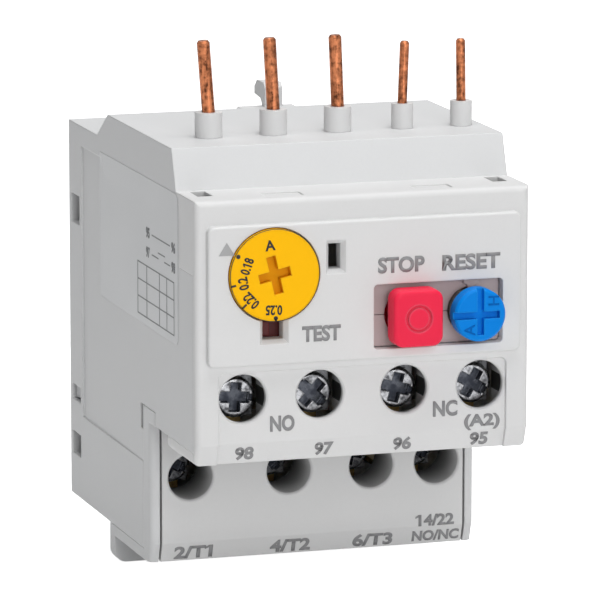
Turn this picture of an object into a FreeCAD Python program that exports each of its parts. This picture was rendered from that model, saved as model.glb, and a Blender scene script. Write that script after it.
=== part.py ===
"""Thermal overload relay: a plug-in motor protection relay as an assembly of separate pieces.

Lengths are millimetres.  The pieces are drawn on a bench frame: X runs to the right seen from the
front, Y runs back from the face of the front cover, and Z runs up from the foot of the lower frame.
Every piece then gets the same placement, which brings the origin to the middle of the top seat, on
the line of the plug-in pins, because the relay hangs from the contactor by those pins.
"""
import FreeCAD, Part
import math
import os
import re

import Sketcher

V = FreeCAD.Vector
doc = FreeCAD.newDocument("thermal_overload_relay")

# ---------------------------------------------------------------------------------------------
# Driving dimensions
# ---------------------------------------------------------------------------------------------
DIMENSIONS = [
    # housing
    ("width", 45.0), ("wall", 1.5), ("depth", 61.2), ("seat_rise", 5.3), ("seat_front", 10.7),
    ("seat_rear_margin", 20.0), ("rear_ramp", 5.4), ("rear_ledge_drop", 3.5),
    ("base_height", 1.9), ("overhang_height", 19.4), ("skirt_setback", 3.3), ("side_inset", 0.25),
    ("rim_depth", 6.3), ("field_low", 13.6), ("field_drop", 1.0), ("latch_margin", 1.1),
    ("latch_depth", 4.2), ("latch_1", 7.6), ("latch_1_tall", 3.2), ("latch_2", 15.2),
    ("latch_2_tall", 2.2), ("latch_3", 40.0), ("latch_3_tall", 4.0), ("fit_gap", 0.05),
    # rear cover
    ("hook_rise", 0.2), ("rib_low", 6.0), ("rib_top", 38.0), ("rib_pitch", 12.0),
    ("rib_width", 1.0), ("rib_depth", 1.2),
    # front cover
    ("cover_rise", 3.2), ("bend_rise", 1.0), ("lip_drop", 1.7), ("band_setback", 1.0),
    ("lip_wall", 0.8), ("ledge_depth", 8.8), ("return_depth", 7.3), ("return_drop", 9.6),
    ("skin", 0.9), ("cover_corner", 0.8), ("plate_rise", 1.0), ("plate_margin", 1.45),
    ("plate_gap", 0.95), ("plate_tall", 18.2), ("plate_corner", 0.9), ("plate_edge", 0.3),
    ("panel_margin", 3.05), ("panel_rise", 0.37), ("panel_sink", 0.5), ("barrier_depth", 4.5),
    ("barrier_wall", 0.9), ("ledge_hole_side", 1.6), ("ledge_hole_width", 2.0),
    ("ledge_hole_front", 4.2), ("ledge_hole_length", 3.8), ("mark_inner", 7.5),
    ("mark_width", 5.1), ("mark_front", 1.75), ("mark_length", 2.55), ("mark_depth", 0.15),
    # control terminals, reached through the front cover
    ("aux_margin", 6.45), ("aux_inner", 5.7), ("hole_rise", 6.83), ("driver_radius", 3.15),
    ("rim_chamfer", 0.25), ("screw_drop", 0.43), ("aux_head_depth", 3.9),
    ("chamber_half", 3.4), ("aux_wire_offset", 3.6), ("wire_slot", 4.6),
    # lower frame and load terminals
    ("lower_front", 21.3), ("column", 1.3), ("frame_gap", 0.3), ("lower_bend", 3.0),
    ("lower_setback", 0.9), ("tray_top", 1.85), ("tray_bottom", 0.4), ("tray_length", 17.7),
    ("column_corner", 0.9), ("foot_depth", 2.2), ("foot_reach", 3.3), ("foot_corner", 1.6),
    ("tab_rise", 1.8), ("tab_reach", 2.3), ("panel_gap", 0.2), ("panel_wall", 1.6),
    ("tube_length", 8.0), ("tube_wall", 0.9), ("load_hole_radius", 3.06), ("load_height", 11.74),
    ("load_margin", 5.56), ("load_2", -3.37), ("load_3", 8.09),
    ("load_margin_no", 5.3), ("load_head_sunk", 9.6), ("load_wire_offset", 2.0),
    # terminal screws, clamps and plates
    ("head_radius", 2.65), ("head_height", 2.0), ("head_edge", 0.35), ("shank_radius", 1.45),
    ("shank_length", 9.0), ("shank_gap", 0.05), ("slot_width", 0.95), ("slot_depth", 1.1),
    ("cross_width", 1.5), ("cross_length", 3.9), ("cross_extra", 0.3), ("clamp_half", 2.8),
    ("clamp_thickness", 0.9), ("clamp_lip", 0.7), ("clamp_gap", 0.05), ("clamp_travel", 3.0),
    ("clamp_clear", 0.15), ("aux_clear", 0.85), ("terminal_thickness", 1.2),
    ("terminal_half", 2.9), ("load_plate_below", 6.24), ("load_plate_above", 4.76),
    ("strip_thickness", 0.8), ("strip_half", 1.5), ("strip_gap", 0.6), ("pin_wide", 0.9),
    # plug-in pins
    ("pin_row", 18.55), ("pin_margin", 7.3), ("pin_pitch", 8.8), ("coil_pin_margin", 3.05),
    ("aux_pin_gap", 8.15), ("load_pin_radius", 0.85), ("aux_pin_radius", 0.62),
    ("load_pin_height", 12.7), ("aux_pin_height", 11.5), ("collar_height", 3.3),
    ("collar_radius", 1.8), ("aux_collar_radius", 1.45), ("sleeve_step", 0.45),
    ("sleeve_gap", 0.06), ("pin_sunk", 8.3), ("pin_tip", 0.3), ("pin_taper", 0.2),
    ("lean_1", 4.3), ("lean_2", 3.2), ("lean_3", 2.4), ("lean_4", -2.2), ("lean_5", 0.8),
    # suspension hook
    ("hook_place", 2.6), ("hook_width", 2.5), ("hook_setback", 1.0), ("hook_stem", 1.4),
    ("hook_reach", 4.8), ("hook_tall", 5.8), ("hook_nose", 2.0), ("hook_corner", 0.6),
    ("hook_bar_left", 5.0), ("hook_bar_right", 3.8), ("hook_bar_tall", 2.5),
    ("hook_bar_depth", 2.6),
    # setting dial
    ("dial_margin", 10.2), ("dial_clear", 0.35), ("dial_radius", 6.0), ("dial_proud", 0.3),
    ("dial_thickness", 1.6), ("dial_gap", 0.15), ("dial_edge", 0.2), ("dial_shaft", 1.9),
    ("dial_turned", 13.0), ("dial_key_long", 5.0), ("dial_key_short", 4.3),
    ("dial_key_width", 1.25), ("dial_key_depth", 1.1), ("cam_front", 6.5),
    ("cam_thickness", 2.0), ("cam_radius", 2.8), ("cam_throw", 0.6), ("press_gap", 0.02),
    # stop and reset buttons
    ("recess_margin", 3.95), ("recess_width", 17.5), ("recess_below", 4.25),
    ("recess_above", 4.2), ("recess_corner", 0.55), ("guide_gap", 0.12), ("guide_floor", 0.4),
    ("guide_flange", 1.2), ("guide_thickness", 1.5), ("button_rise", 5.5),
    ("button_pitch", 8.32), ("reset_margin", 4.05), ("stop_width", 6.65), ("stop_tall", 7.4),
    ("stop_corner", 1.4), ("cap_edge", 0.5), ("button_face", 4.0), ("stop_thickness", 2.8),
    ("stop_stem", 2.4), ("stop_bore", 3.3), ("ring_inner", 1.41), ("ring_outer", 1.77),
    ("ring_depth", 0.35), ("reset_radius", 3.45), ("knob_chamfer", 0.3),
    ("reset_thickness", 2.2), ("reset_travel", 1.6), ("reset_collar", 2.5),
    ("reset_bore", 3.05), ("reset_spigot", 1.2), ("reset_slot", 0.95),
    ("reset_slot_depth", 1.0), ("reset_arm", 2.6), ("stop_collar", 0.5), ("collar_gap", 0.1),
    ("collar_thickness", 1.0), ("stem_end", 5.5), ("spring_seat", 9.8), ("spring_radius", 1.7),
    ("spring_wire", 0.3), ("spring_turns", 4.0), ("bridge_thickness", 1.0),
    ("bridge_half", 3.0), ("bridge_arm", 0.8), ("bridge_left", 0.2), ("bridge_right", 0.9),
    ("stud_length", 1.2), ("pointer_width", 2.0), ("pointer_tip", 1.3),
    # windows and trip slider
    ("window_shift", 8.25), ("window_drop", 4.6), ("window_width", 1.6), ("window_tall", 3.3),
    ("flare", 0.55), ("flare_depth", 0.8), ("test_width", 2.75), ("test_overlap", 0.8),
    ("test_tall", 3.25), ("slider_front", 1.8), ("slider_thickness", 1.4),
    ("slider_below", 0.65), ("slider_drop", 0.4), ("nub_front", 0.5), ("nub_width", 0.95),
    ("carrier_shift", 4.45), ("carrier_width", 3.2), ("carrier_rise", 0.7),
    ("carrier_tall", 4.0), ("carrier_wall", 0.8), ("carrier_end", 1.0), ("blade", 0.5),
    ("contact_gap", 1.65), ("contact_touch", 0.02), ("contact_clear", 0.4),
    ("contact_depth", 2.4), ("contact_pitch", 4.0),
    # heaters and trip linkage
    ("bimetal_margin", 14.2), ("bimetal_width", 5.0), ("bimetal_thickness", 0.8),
    ("bimetal_foot", 9.0), ("bimetal_drop", 5.1), ("heater_low", 14.0), ("heater_loop", 1.2),
    ("heater_pitch", 3.2), ("heater_count", 8), ("heater_reach", 1.9), ("heater_wall", 0.6),
    ("heater_gap", 1.0),
    ("slide_drop", 3.0), ("slide_thickness", 1.8), ("slide_travel", 1.2), ("slide_gap", 0.4),
    ("lever_margin", 6.5), ("lever_pivot", 34.0), ("lever_gap", 4.0), ("lever_overlap", 4.0),
    ("lever_width", 1.2), ("pivot_radius", 1.0), ("hub_wall", 0.9), ("shelf_half", 2.0),
    ("shelf_thickness", 1.2), ("shelf_gap", 0.3),
]

# ---------------------------------------------------------------------------------------------
# Places and heights that follow from the driving dimensions
# ---------------------------------------------------------------------------------------------
FOLLOWING = {
    # heights, from the lip under the control terminals up to the hook
    "tab_top": "overhang_height + tab_rise",
    "cover_bend": "overhang_height + bend_rise",
    "cover_bottom": "overhang_height - lip_drop",
    "aux_hole_height": "overhang_height + hole_rise",
    "aux_screw_height": "aux_hole_height - screw_drop",
    "panel_top": "aux_hole_height + driver_radius + panel_rise",
    "plate_low": "panel_top + plate_gap",
    "plate_top": "plate_low + plate_tall",
    "cover_height": "plate_top + cover_rise",
    "return_height": "cover_height - return_drop",
    "field_top": "cover_height - field_drop",
    "seat_height": "cover_height + seat_rise",
    "rear_ledge_height": "seat_height - rear_ledge_drop",
    "hook_height": "rear_ledge_height + hook_tall",
    "hook_bar_height": "rear_ledge_height + hook_bar_tall",
    "dial_height": "plate_top - dial_clear - dial_gap - dial_radius",
    "test_top": "dial_height - dial_radius + test_overlap",
    "test_low": "test_top - test_tall",
    "window_height": "plate_top - window_drop",
    "button_height": "plate_low + button_rise",
    "recess_low": "button_height - recess_below",
    "recess_top": "button_height + recess_above",
    "slider_low": "test_low - slider_below",
    "slider_top": "test_top - slider_drop",
    "carrier_low": "slider_low + carrier_rise",
    "carrier_top": "carrier_low + carrier_tall",
    "strap_low": "carrier_top + strip_gap",
    "strap_high": "strap_low + strip_thickness",
    "pin_foot": "seat_height - pin_sunk",
    "bimetal_top": "pin_foot - bimetal_drop",
    "slide_low": "bimetal_top - slide_drop",
    # places across, each from the side it keeps its distance to
    "dial_place": "dial_margin - width / 2",
    "window_place": "dial_place + window_shift",
    "carrier_left": "window_place - carrier_shift",
    "carrier_right": "carrier_left + carrier_width",
    "recess_right": "width / 2 - recess_margin",
    "recess_left": "recess_right - recess_width",
    "reset_place": "recess_right - reset_margin",
    "stop_place": "reset_place - button_pitch",
    "aux_outer": "width / 2 - aux_margin",
    "load_1": "load_margin - width / 2",
    "load_4": "width / 2 - load_margin_no",
    "pin_first": "pin_margin - width / 2",
    "coil_pin_place": "width / 2 - coil_pin_margin",
    "aux_pin_place": "coil_pin_place - aux_pin_gap",
    "lever_place": "width / 2 - lever_margin",
    # depths
    "aux_wire_front": "aux_head_depth + aux_wire_offset",
    "lip_depth": "aux_wire_front + wire_slot + lip_wall",
    "skirt_front": "lower_front + skirt_setback",
    "tab_front": "lower_front - tab_reach",
    "tray_rear": "lower_front + tray_length",
    "load_head_depth": "lower_front + load_head_sunk",
    "load_wire_front": "load_head_depth + load_wire_offset",
    "seat_rear": "depth - seat_rear_margin",
    "rear_ledge_front": "seat_rear + rear_ramp",
    "hook_front": "rear_ledge_front + hook_setback",
    "latch_rear": "depth - latch_margin",
    "guide_rear": "wall + guide_thickness",
    "bridge_rear": "spring_seat + bridge_thickness",
    "clamped": "head_height + clamp_gap + clamp_thickness + clamp_lip + clamp_travel",
    "aux_plate_front": "aux_head_depth + clamped + aux_clear",
    "aux_plate_rear": "aux_plate_front + terminal_thickness",
    "load_plate_front": "load_head_depth + clamped + clamp_clear",
    "contact_front": "bridge_rear + contact_clear",
    "contact_rear": "contact_front + contact_pitch + contact_depth",
    "carrier_rear": "contact_rear + carrier_end",
    "bimetal_front": "depth - bimetal_margin",
    "bimetal_rear": "bimetal_front + bimetal_width",
    "lever_front": "carrier_rear + lever_gap",
    "lever_rear": "bimetal_front + lever_overlap",
    # the pointer ends in front of the guide where the pressed knob still clears it
    "pointer_rise": "guide_floor + button_face - reset_thickness - reset_travel - collar_gap",
}

sheet = doc.addObject("Spreadsheet::Sheet", "sizes")
for row, (alias, value) in enumerate(DIMENSIONS, start=1):
    sheet.set("A%d" % row, alias)
    sheet.set("B%d" % row, str(value))
    sheet.setAlias("B%d" % row, alias)
doc.recompute()
NAMES = {alias for alias, value in DIMENSIONS}


# ---------------------------------------------------------------------------------------------
# Short ways to draw and bind
# ---------------------------------------------------------------------------------------------
def formula(text):
    """The expression with each size written as a cell of the sheet."""
    def cell(match):
        word = match.group()
        if word in FOLLOWING:
            return "(%s)" % formula(FOLLOWING[word])
        return "sizes." + word if word in NAMES else word
    return re.sub(r"[a-z][a-z_0-9]*", cell, str(text))


def bind(thing, prop, text):
    thing.setExpression(prop, formula(text))


def number(text):
    """The present value of an expression, for a first drawing that constraints then hold."""
    return float(sheet.evalExpression(formula(text)))


def on_bench(piece, name):
    """Names a finished piece and moves it from the bench to the origin on the seat."""
    piece.Label = name
    bind(piece, "Placement.Base.y", "-pin_row")
    bind(piece, "Placement.Base.z", "-seat_height")
    pieces[name] = piece
    return piece


pieces = {}
PLANES = {"front": "XZ_Plane", "top": "XY_Plane", "side": "YZ_Plane"}


def new_body(name):
    body = doc.addObject("PartDesign::Body", name)
    return on_bench(body, name)


def new_sketch(body, plane, offset="0"):
    """A sketch on an origin plane.  A front one lies at depth Y, a top one at height Z."""
    sketch = body.newObject("Sketcher::SketchObject", "sketch")
    role = PLANES[plane]
    support = [feature for feature in body.Origin.OriginFeatures if feature.Role == role][0]
    sketch.AttachmentSupport = [(support, "")]
    sketch.MapMode = "FlatFace"
    sign = "-" if plane == "front" else ""
    bind(sketch, "AttachmentOffset.Base.z", "%s(%s)" % (sign, offset))
    return sketch


def hold(sketch, kind, geometry, point, text):
    """Holds a point's distance from the sketch origin at an expression."""
    index = sketch.addConstraint(Sketcher.Constraint(kind, -1, 1, geometry, point, number(text)))
    bind(sketch, "Constraints[%d]" % index, text)


def outline(sketch, points):
    """A closed outline of straight lines through points given as pairs of expressions."""
    places = [V(number(across), number(up), 0) for across, up in points]
    first = sketch.GeometryCount
    count = len(places)
    for index in range(count):
        sketch.addGeometry(Part.LineSegment(places[index], places[(index + 1) % count]))
    for index in range(count):
        following = first + (index + 1) % count
        sketch.addConstraint(Sketcher.Constraint("Coincident", first + index, 2, following, 1))
    for index, (across, up) in enumerate(points):
        hold(sketch, "DistanceX", first + index, 1, across)
        hold(sketch, "DistanceY", first + index, 1, up)


def rectangle(sketch, left, right, low, high):
    outline(sketch, [(left, low), (right, low), (right, high), (left, high)])


def circle(sketch, across, up, radius):
    centre = V(number(across), number(up), 0)
    index = sketch.addGeometry(Part.Circle(centre, V(0, 0, 1), number(radius)))
    hold(sketch, "DistanceX", index, 3, across)
    hold(sketch, "DistanceY", index, 3, up)
    held = sketch.addConstraint(Sketcher.Constraint("Radius", index, number(radius)))
    bind(sketch, "Constraints[%d]" % held, radius)


def pad(body, sketch, length, back=False, both=False):
    """Adds material: a front sketch grows forwards, or backwards with back."""
    feature = body.newObject("PartDesign::Pad", "pad")
    feature.Profile = sketch
    bind(feature, "Length", length)
    feature.Reversed = back
    feature.Midplane = both
    body.Tip = feature
    return feature


def cut(body, sketch, length, back=False, both=False):
    """Takes material away: a front sketch cuts backwards, a top one down."""
    feature = body.newObject("PartDesign::Pocket", "cut")
    feature.Profile = sketch
    bind(feature, "Length", length)
    feature.Reversed = back
    feature.Midplane = both
    body.Tip = feature
    return feature


def picked(shape, test):
    """The names of the edges whose middle point passes the test."""
    names = []
    for index, edge in enumerate(shape.Edges, start=1):
        middle = edge.valueAt((edge.FirstParameter + edge.LastParameter) / 2)
        if test(edge, middle):
            names.append("Edge%d" % index)
    return names


def soften(body, kind, size, test):
    """A fillet or chamfer on the edges of the body's last feature that pass the test."""
    doc.recompute()
    base = body.Tip
    feature = body.newObject("PartDesign::" + kind, kind.lower())
    feature.Base = (base, picked(base.Shape, test))
    bind(feature, "Radius" if kind == "Fillet" else "Size", size)
    body.Tip = feature
    return feature


def near(a, text):
    return abs(a - number(text)) < 1e-4


def along(edge, axis):
    """Whether an edge is straight and runs along the axis."""
    if not isinstance(edge.Curve, Part.Line):
        return False
    return abs(edge.Curve.Direction.dot(axis)) > 0.9999


ALONG_X, ALONG_Y, ALONG_Z = V(1, 0, 0), V(0, 1, 0), V(0, 0, 1)


def block(left, right, front, rear, low, high):
    """A box between bench coordinates given as expressions."""
    box = doc.addObject("Part::Box", "block")
    for prop, start, end in (("Length", left, right), ("Width", front, rear), ("Height", low, high)):
        bind(box, prop, "(%s) - (%s)" % (end, start))
    for axis, start in (("x", left), ("y", front), ("z", low)):
        bind(box, "Placement.Base." + axis, start)
    return box


def rod(x, y, z, radius, length, axis="z"):
    """A cylinder that starts at a point and runs up, or back where axis is y."""
    cylinder = doc.addObject("Part::Cylinder", "rod")
    bind(cylinder, "Radius", radius)
    bind(cylinder, "Height", length)
    if axis == "y":
        cylinder.Placement.Rotation = FreeCAD.Rotation(V(1, 0, 0), -90)
    for name, value in (("x", x), ("y", y), ("z", z)):
        bind(cylinder, "Placement.Base." + name, value)
    return cylinder


def joined(parts):
    if len(parts) == 1:
        return parts[0]
    fuse = doc.addObject("Part::MultiFuse", "joined")
    fuse.Shapes = parts
    fuse.Refine = True
    return fuse


def less(base, tools):
    result = doc.addObject("Part::Cut", "less")
    result.Base = base
    result.Tool = joined(tools)
    return result


def grouped(parts):
    group = doc.addObject("Part::Compound", "group")
    group.Links = parts
    return group


AUX_PLACES = {"98": "-aux_outer", "97": "-aux_inner", "96": "aux_inner", "95": "aux_outer"}
LOAD_PLACES = {"t1": "load_1", "t2": "load_2", "t3": "load_3", "no": "load_4"}
PIN_PLACES = ["pin_first", "pin_first + pin_pitch", "pin_first + 2 * pin_pitch"]


# ---------------------------------------------------------------------------------------------
# Main housing: one moulding with the raised seat for the contactor, hollow and open at the front
# ---------------------------------------------------------------------------------------------
def main_housing():
    body = new_body("main_housing")
    side = new_sketch(body, "side")
    outline(side, [
        ("depth", "base_height"), ("depth", "rear_ledge_height"),
        ("rear_ledge_front", "rear_ledge_height"), ("seat_rear", "seat_height"),
        ("seat_front", "seat_height"), ("ledge_depth", "cover_height"),
        ("ledge_depth", "cover_height - wall"), ("return_depth", "cover_height - wall"),
        ("return_depth", "return_height"), ("skin", "return_height"),
        ("skin", "overhang_height"), ("skirt_front", "overhang_height"),
        ("skirt_front", "base_height")])
    pad(body, side, "width", both=True)

    # the hollow follows the outside one wall inwards, and runs out through the front and the rear
    slope = math.atan2(number("seat_height - rear_ledge_height"),
                       number("rear_ledge_front - seat_rear"))
    rear_shift = "wall * %.6f" % math.tan(slope / 2)
    lean = math.atan2(number("seat_front - ledge_depth"), number("seat_height - cover_height"))
    front_shift = "wall * %.6f" % math.tan((math.pi / 2 - lean) / 2)
    face_shift = "wall * %.6f" % (1 / math.cos(lean))
    run = "(seat_front - ledge_depth) / (seat_height - cover_height)"
    hollow = new_sketch(body, "side")
    outline(hollow, [
        ("depth + wall", "base_height + wall"), ("depth + wall", "rear_ledge_height - wall"),
        ("rear_ledge_front - %s" % rear_shift, "rear_ledge_height - wall"),
        ("seat_rear - %s" % rear_shift, "seat_height - wall"),
        ("seat_front + %s" % front_shift, "seat_height - wall"),
        ("ledge_depth + %s - wall * %s" % (face_shift, run), "cover_height - wall"),
        ("-wall", "cover_height - wall"), ("-wall", "overhang_height + wall"),
        ("skirt_front + wall", "overhang_height + wall"),
        ("skirt_front + wall", "overhang_height - wall"),
        ("skirt_front - wall", "overhang_height - wall"),
        ("skirt_front - wall", "base_height + wall")])
    cut(body, hollow, "width - 2 * wall", both=True)

    # the floor stops behind the face of the cover
    face = new_sketch(body, "front", "skin")
    half = "width / 2 - wall - fit_gap"
    rectangle(face, "-(%s)" % half, half, "overhang_height - wall", "overhang_height + 2 * wall")
    cut(body, face, "wall - skin + fit_gap")

    # holes for the pin sleeves in the seat
    holes = new_sketch(body, "top", "seat_height")
    for place in PIN_PLACES:
        circle(holes, place, "pin_row", "collar_radius - sleeve_step + fit_gap")
    for place in ("aux_pin_place", "coil_pin_place"):
        circle(holes, place, "pin_row", "aux_collar_radius - sleeve_step + fit_gap")
    cut(body, holes, "2 * wall")

    # slots that let the control wires up from below, and the load wires up through the floor
    wires = new_sketch(body, "top", "overhang_height + 2 * wall")
    for place in AUX_PLACES.values():
        rectangle(wires, "%s - wire_slot / 2" % place, "%s + wire_slot / 2" % place,
                  "aux_wire_front", "aux_wire_front + wire_slot")
    cut(body, wires, "3 * wall")
    wires = new_sketch(body, "top", "base_height + 2 * wall")
    for place in LOAD_PLACES.values():
        rectangle(wires, "%s - wire_slot / 2" % place, "%s + wire_slot / 2" % place,
                  "load_wire_front", "load_wire_front + wire_slot")
    cut(body, wires, "3 * wall")

    # rebates in the side walls where the lower frame's ears sit flush
    ears = new_sketch(body, "side")
    rectangle(ears, "tab_front - fit_gap", "skirt_front + wall", "overhang_height - wall",
              "tab_top + fit_gap")
    notch = cut(body, ears, "width + wall", both=True)
    notch.Label = "ear_rebates"

    # latch windows at the rear edge, which the hooks of the rear cover snap into
    latches = new_sketch(body, "side")
    for low in ("latch_1", "latch_2", "latch_3"):
        rectangle(latches, "latch_rear - latch_depth", "latch_rear", low,
                  "%s + %s_tall" % (low, low))
    cut(body, latches, "width + wall", both=True)

    # the sides are sunk a little in front of the rear rim, up to the line of the label field
    sunk = new_sketch(body, "top", "field_top")
    for sign in ("-", ""):
        outline(sunk, [
            ("%s(width / 2 - side_inset)" % sign, "depth - rim_depth"),
            ("%s(width / 2 + wall)" % sign, "depth - rim_depth"),
            ("%s(width / 2 + wall)" % sign, "return_depth"),
            ("%s(width / 2)" % sign, "return_depth")])
    cut(body, sunk, "field_top - field_low")
    return body


# ---------------------------------------------------------------------------------------------
# Front cover: wraps the face, the ledge below the seat and the lip under the control terminals
# ---------------------------------------------------------------------------------------------
def flared_slot(body, left, right, low, high):
    """A window whose mouth widens towards the front."""
    front = "-plate_rise"
    mouth = new_sketch(body, "front", front)
    rectangle(mouth, "%s - flare" % left, "%s + flare" % right, "%s - flare" % low,
              "%s + flare" % high)
    throat = new_sketch(body, "front", "flare_depth - plate_rise")
    rectangle(throat, left, right, low, high)
    loft = body.newObject("PartDesign::SubtractiveLoft", "flare_cut")
    loft.Profile = mouth
    loft.Sections = [throat]
    body.Tip = loft
    through = new_sketch(body, "front", front)
    rectangle(through, left, right, low, high)
    cut(body, through, "plate_rise + 2 * wall")


def front_cover():
    body = new_body("front_cover")
    side = new_sketch(body, "side")
    outline(side, [
        ("0", "cover_bend"), ("0", "cover_height"), ("ledge_depth", "cover_height"),
        ("ledge_depth", "cover_height - wall"), ("return_depth", "cover_height - wall"),
        ("return_depth", "return_height"), ("wall", "return_height"),
        ("wall", "overhang_height"), ("lip_depth", "overhang_height"),
        ("lip_depth", "cover_bottom"), ("band_setback", "cover_bottom")])
    pad(body, side, "width", both=True)
    soften(body, "Fillet", "cover_corner", lambda edge, middle:
           (near(abs(middle.x), "width / 2")
            and (middle.y < number("skin") or near(middle.z, "cover_bottom")))
           or (near(middle.x, "0") and near(middle.y, "0") and near(middle.z, "cover_height")))

    hollow = new_sketch(body, "front", "wall")
    rectangle(hollow, "-(width / 2 - wall)", "width / 2 - wall", "overhang_height",
              "cover_height - wall")
    cut(body, hollow, "ledge_depth")
    rebate = new_sketch(body, "front", "skin")
    for sign in ("-", ""):
        rectangle(rebate, "%s(width / 2 - wall - fit_gap)" % sign, "%s(width / 2 + wall)" % sign,
                  "overhang_height", "return_height")
    cut(body, rebate, "wall")

    # raised plate with soft corners
    plate = new_sketch(body, "front")
    rectangle(plate, "-(width / 2 - plate_margin)", "width / 2 - plate_margin", "plate_low",
              "plate_top")
    pad(body, plate, "plate_rise")
    soften(body, "Fillet", "plate_corner", lambda edge, middle:
           along(edge, ALONG_Y) and near(middle.y, "-plate_rise / 2"))
    soften(body, "Fillet", "plate_edge", lambda edge, middle: near(middle.y, "-plate_rise"))

    # sunk field around the control terminals, which runs out over the tilted band
    field = new_sketch(body, "side")
    outline(field, [
        ("-plate_rise", "panel_top"), ("panel_sink", "panel_top"), ("panel_sink", "cover_bend"),
        ("band_setback + panel_sink", "cover_bottom"),
        ("band_setback + panel_sink", "cover_bottom - wall"),
        ("-plate_rise", "cover_bottom - wall")])
    cut(body, field, "width - 2 * panel_margin", both=True)
    soften(body, "Fillet", "plate_corner", lambda edge, middle:
           along(edge, ALONG_Y) and near(middle.z, "panel_top")
           and near(abs(middle.x), "width / 2 - panel_margin"))

    # driver holes with a chamfered rim, then the barriers between the terminals behind them
    holes = new_sketch(body, "front")
    rims = new_sketch(body, "front", "panel_sink")
    for place in AUX_PLACES.values():
        circle(holes, place, "aux_hole_height", "driver_radius")
        circle(rims, place, "aux_hole_height", "driver_radius + rim_chamfer")
    cut(body, holes, "2 * wall")
    rim = cut(body, rims, "rim_chamfer")
    rim.TaperAngle = -45
    barriers = new_sketch(body, "front", "wall")
    for place in AUX_PLACES.values():
        for side_of in ("-", "+"):
            near_edge = "%s %s chamber_half" % (place, side_of)
            far_edge = "%s %s (chamber_half + barrier_wall)" % (place, side_of)
            rectangle(barriers, near_edge, far_edge, "overhang_height + wall + fit_gap", "panel_top")
    pad(body, barriers, "barrier_depth", back=True)

    # seat and bore of the dial, windows, and the opening for the buttons
    seat = new_sketch(body, "front", "-plate_rise")
    circle(seat, "dial_place", "dial_height", "dial_radius + dial_gap")
    cut(body, seat, "dial_thickness - dial_proud + dial_gap")
    bore = new_sketch(body, "front", "-plate_rise")
    circle(bore, "dial_place", "dial_height", "dial_shaft + fit_gap")
    cut(body, bore, "plate_rise + 2 * wall")
    flared_slot(body, "(window_place - window_width / 2)", "(window_place + window_width / 2)",
                "(window_height - window_tall / 2)", "(window_height + window_tall / 2)")
    flared_slot(body, "(dial_place - test_width / 2)", "(dial_place + test_width / 2)",
                "test_low", "test_top")
    opening = new_sketch(body, "front", "-plate_rise")
    rectangle(opening, "recess_left", "recess_right", "recess_low", "recess_top")
    cut(body, opening, "plate_rise + 2 * wall")
    soften(body, "Fillet", "recess_corner", lambda edge, middle:
           along(edge, ALONG_Y) and (near(middle.x, "recess_left") or near(middle.x, "recess_right"))
           and (near(middle.z, "recess_low") or near(middle.z, "recess_top")))

    # latch holes and gate marks in the ledge, and the wire slots in the lip
    latches = new_sketch(body, "top", "cover_height")
    for sign in ("-", ""):
        rectangle(latches, "%s(width / 2 - ledge_hole_side - ledge_hole_width)" % sign,
                  "%s(width / 2 - ledge_hole_side)" % sign, "ledge_hole_front",
                  "ledge_hole_front + ledge_hole_length")
    cut(body, latches, "2 * wall")
    marks = new_sketch(body, "top", "cover_height")
    for sign in ("-", ""):
        rectangle(marks, "%smark_inner" % sign, "%s(mark_inner + mark_width)" % sign,
                  "mark_front", "mark_front + mark_length")
    cut(body, marks, "mark_depth")
    wires = new_sketch(body, "top", "overhang_height")
    for place in AUX_PLACES.values():
        rectangle(wires, "%s - wire_slot / 2" % place, "%s + wire_slot / 2" % place,
                  "aux_wire_front", "aux_wire_front + wire_slot")
    cut(body, wires, "2 * wall")
    return body


# ---------------------------------------------------------------------------------------------
# Lower frame: two columns, ears that lock into the housing, a tray below it and the rear foot
# ---------------------------------------------------------------------------------------------
def lower_frame():
    body = new_body("lower_frame")
    side = new_sketch(body, "side")
    column_rear = "skirt_front - fit_gap"
    outline(side, [
        ("lower_front", "lower_bend"), ("lower_front", "overhang_height - wall"),
        (column_rear, "overhang_height - wall"), (column_rear, "tray_top"),
        ("tray_rear + foot_depth", "tray_top"), ("tray_rear + foot_depth", "-foot_reach"),
        ("tray_rear", "-foot_reach"), ("tray_rear", "tray_bottom"),
        ("lower_front + lower_setback", "tray_bottom")])
    pad(body, side, "width", both=True)
    ears = new_sketch(body, "side")
    outline(ears, [
        ("lower_front", "lower_bend"), ("lower_front", "overhang_height - fit_gap"),
        ("tab_front", "overhang_height - fit_gap"), ("tab_front", "tab_top"),
        (column_rear, "tab_top"), (column_rear, "lower_bend")])
    pad(body, ears, "width", both=True)

    # open between the columns
    opening = new_sketch(body, "front", "tab_front - wall")
    inner = "width / 2 - column"
    rectangle(opening, "-(%s)" % inner, inner, "tray_top", "tab_top + wall")
    cut(body, opening, "skirt_front - tab_front + 2 * wall")
    sill = new_sketch(body, "front", "lower_front - wall")
    rectangle(sill, "-(%s)" % inner, inner, "-wall", "tray_top + fit_gap")
    cut(body, sill, "wall + lower_setback + panel_wall + fit_gap")
    soften(body, "Fillet", "column_corner", lambda edge, middle:
           near(abs(middle.x), "width / 2") and not along(edge, ALONG_Y)
           and middle.y < number("lower_front + lower_setback")
           and middle.y > number("lower_front") - 0.01 and middle.z < number("overhang_height"))
    soften(body, "Fillet", "foot_corner", lambda edge, middle:
           along(edge, ALONG_Y) and near(middle.z, "-foot_reach"))
    wires = new_sketch(body, "top", "tray_top")
    for place in LOAD_PLACES.values():
        rectangle(wires, "%s - wire_slot / 2" % place, "%s + wire_slot / 2" % place,
                  "load_wire_front", "load_wire_front + wire_slot")
    cut(body, wires, "2 * wall")
    return body


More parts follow.
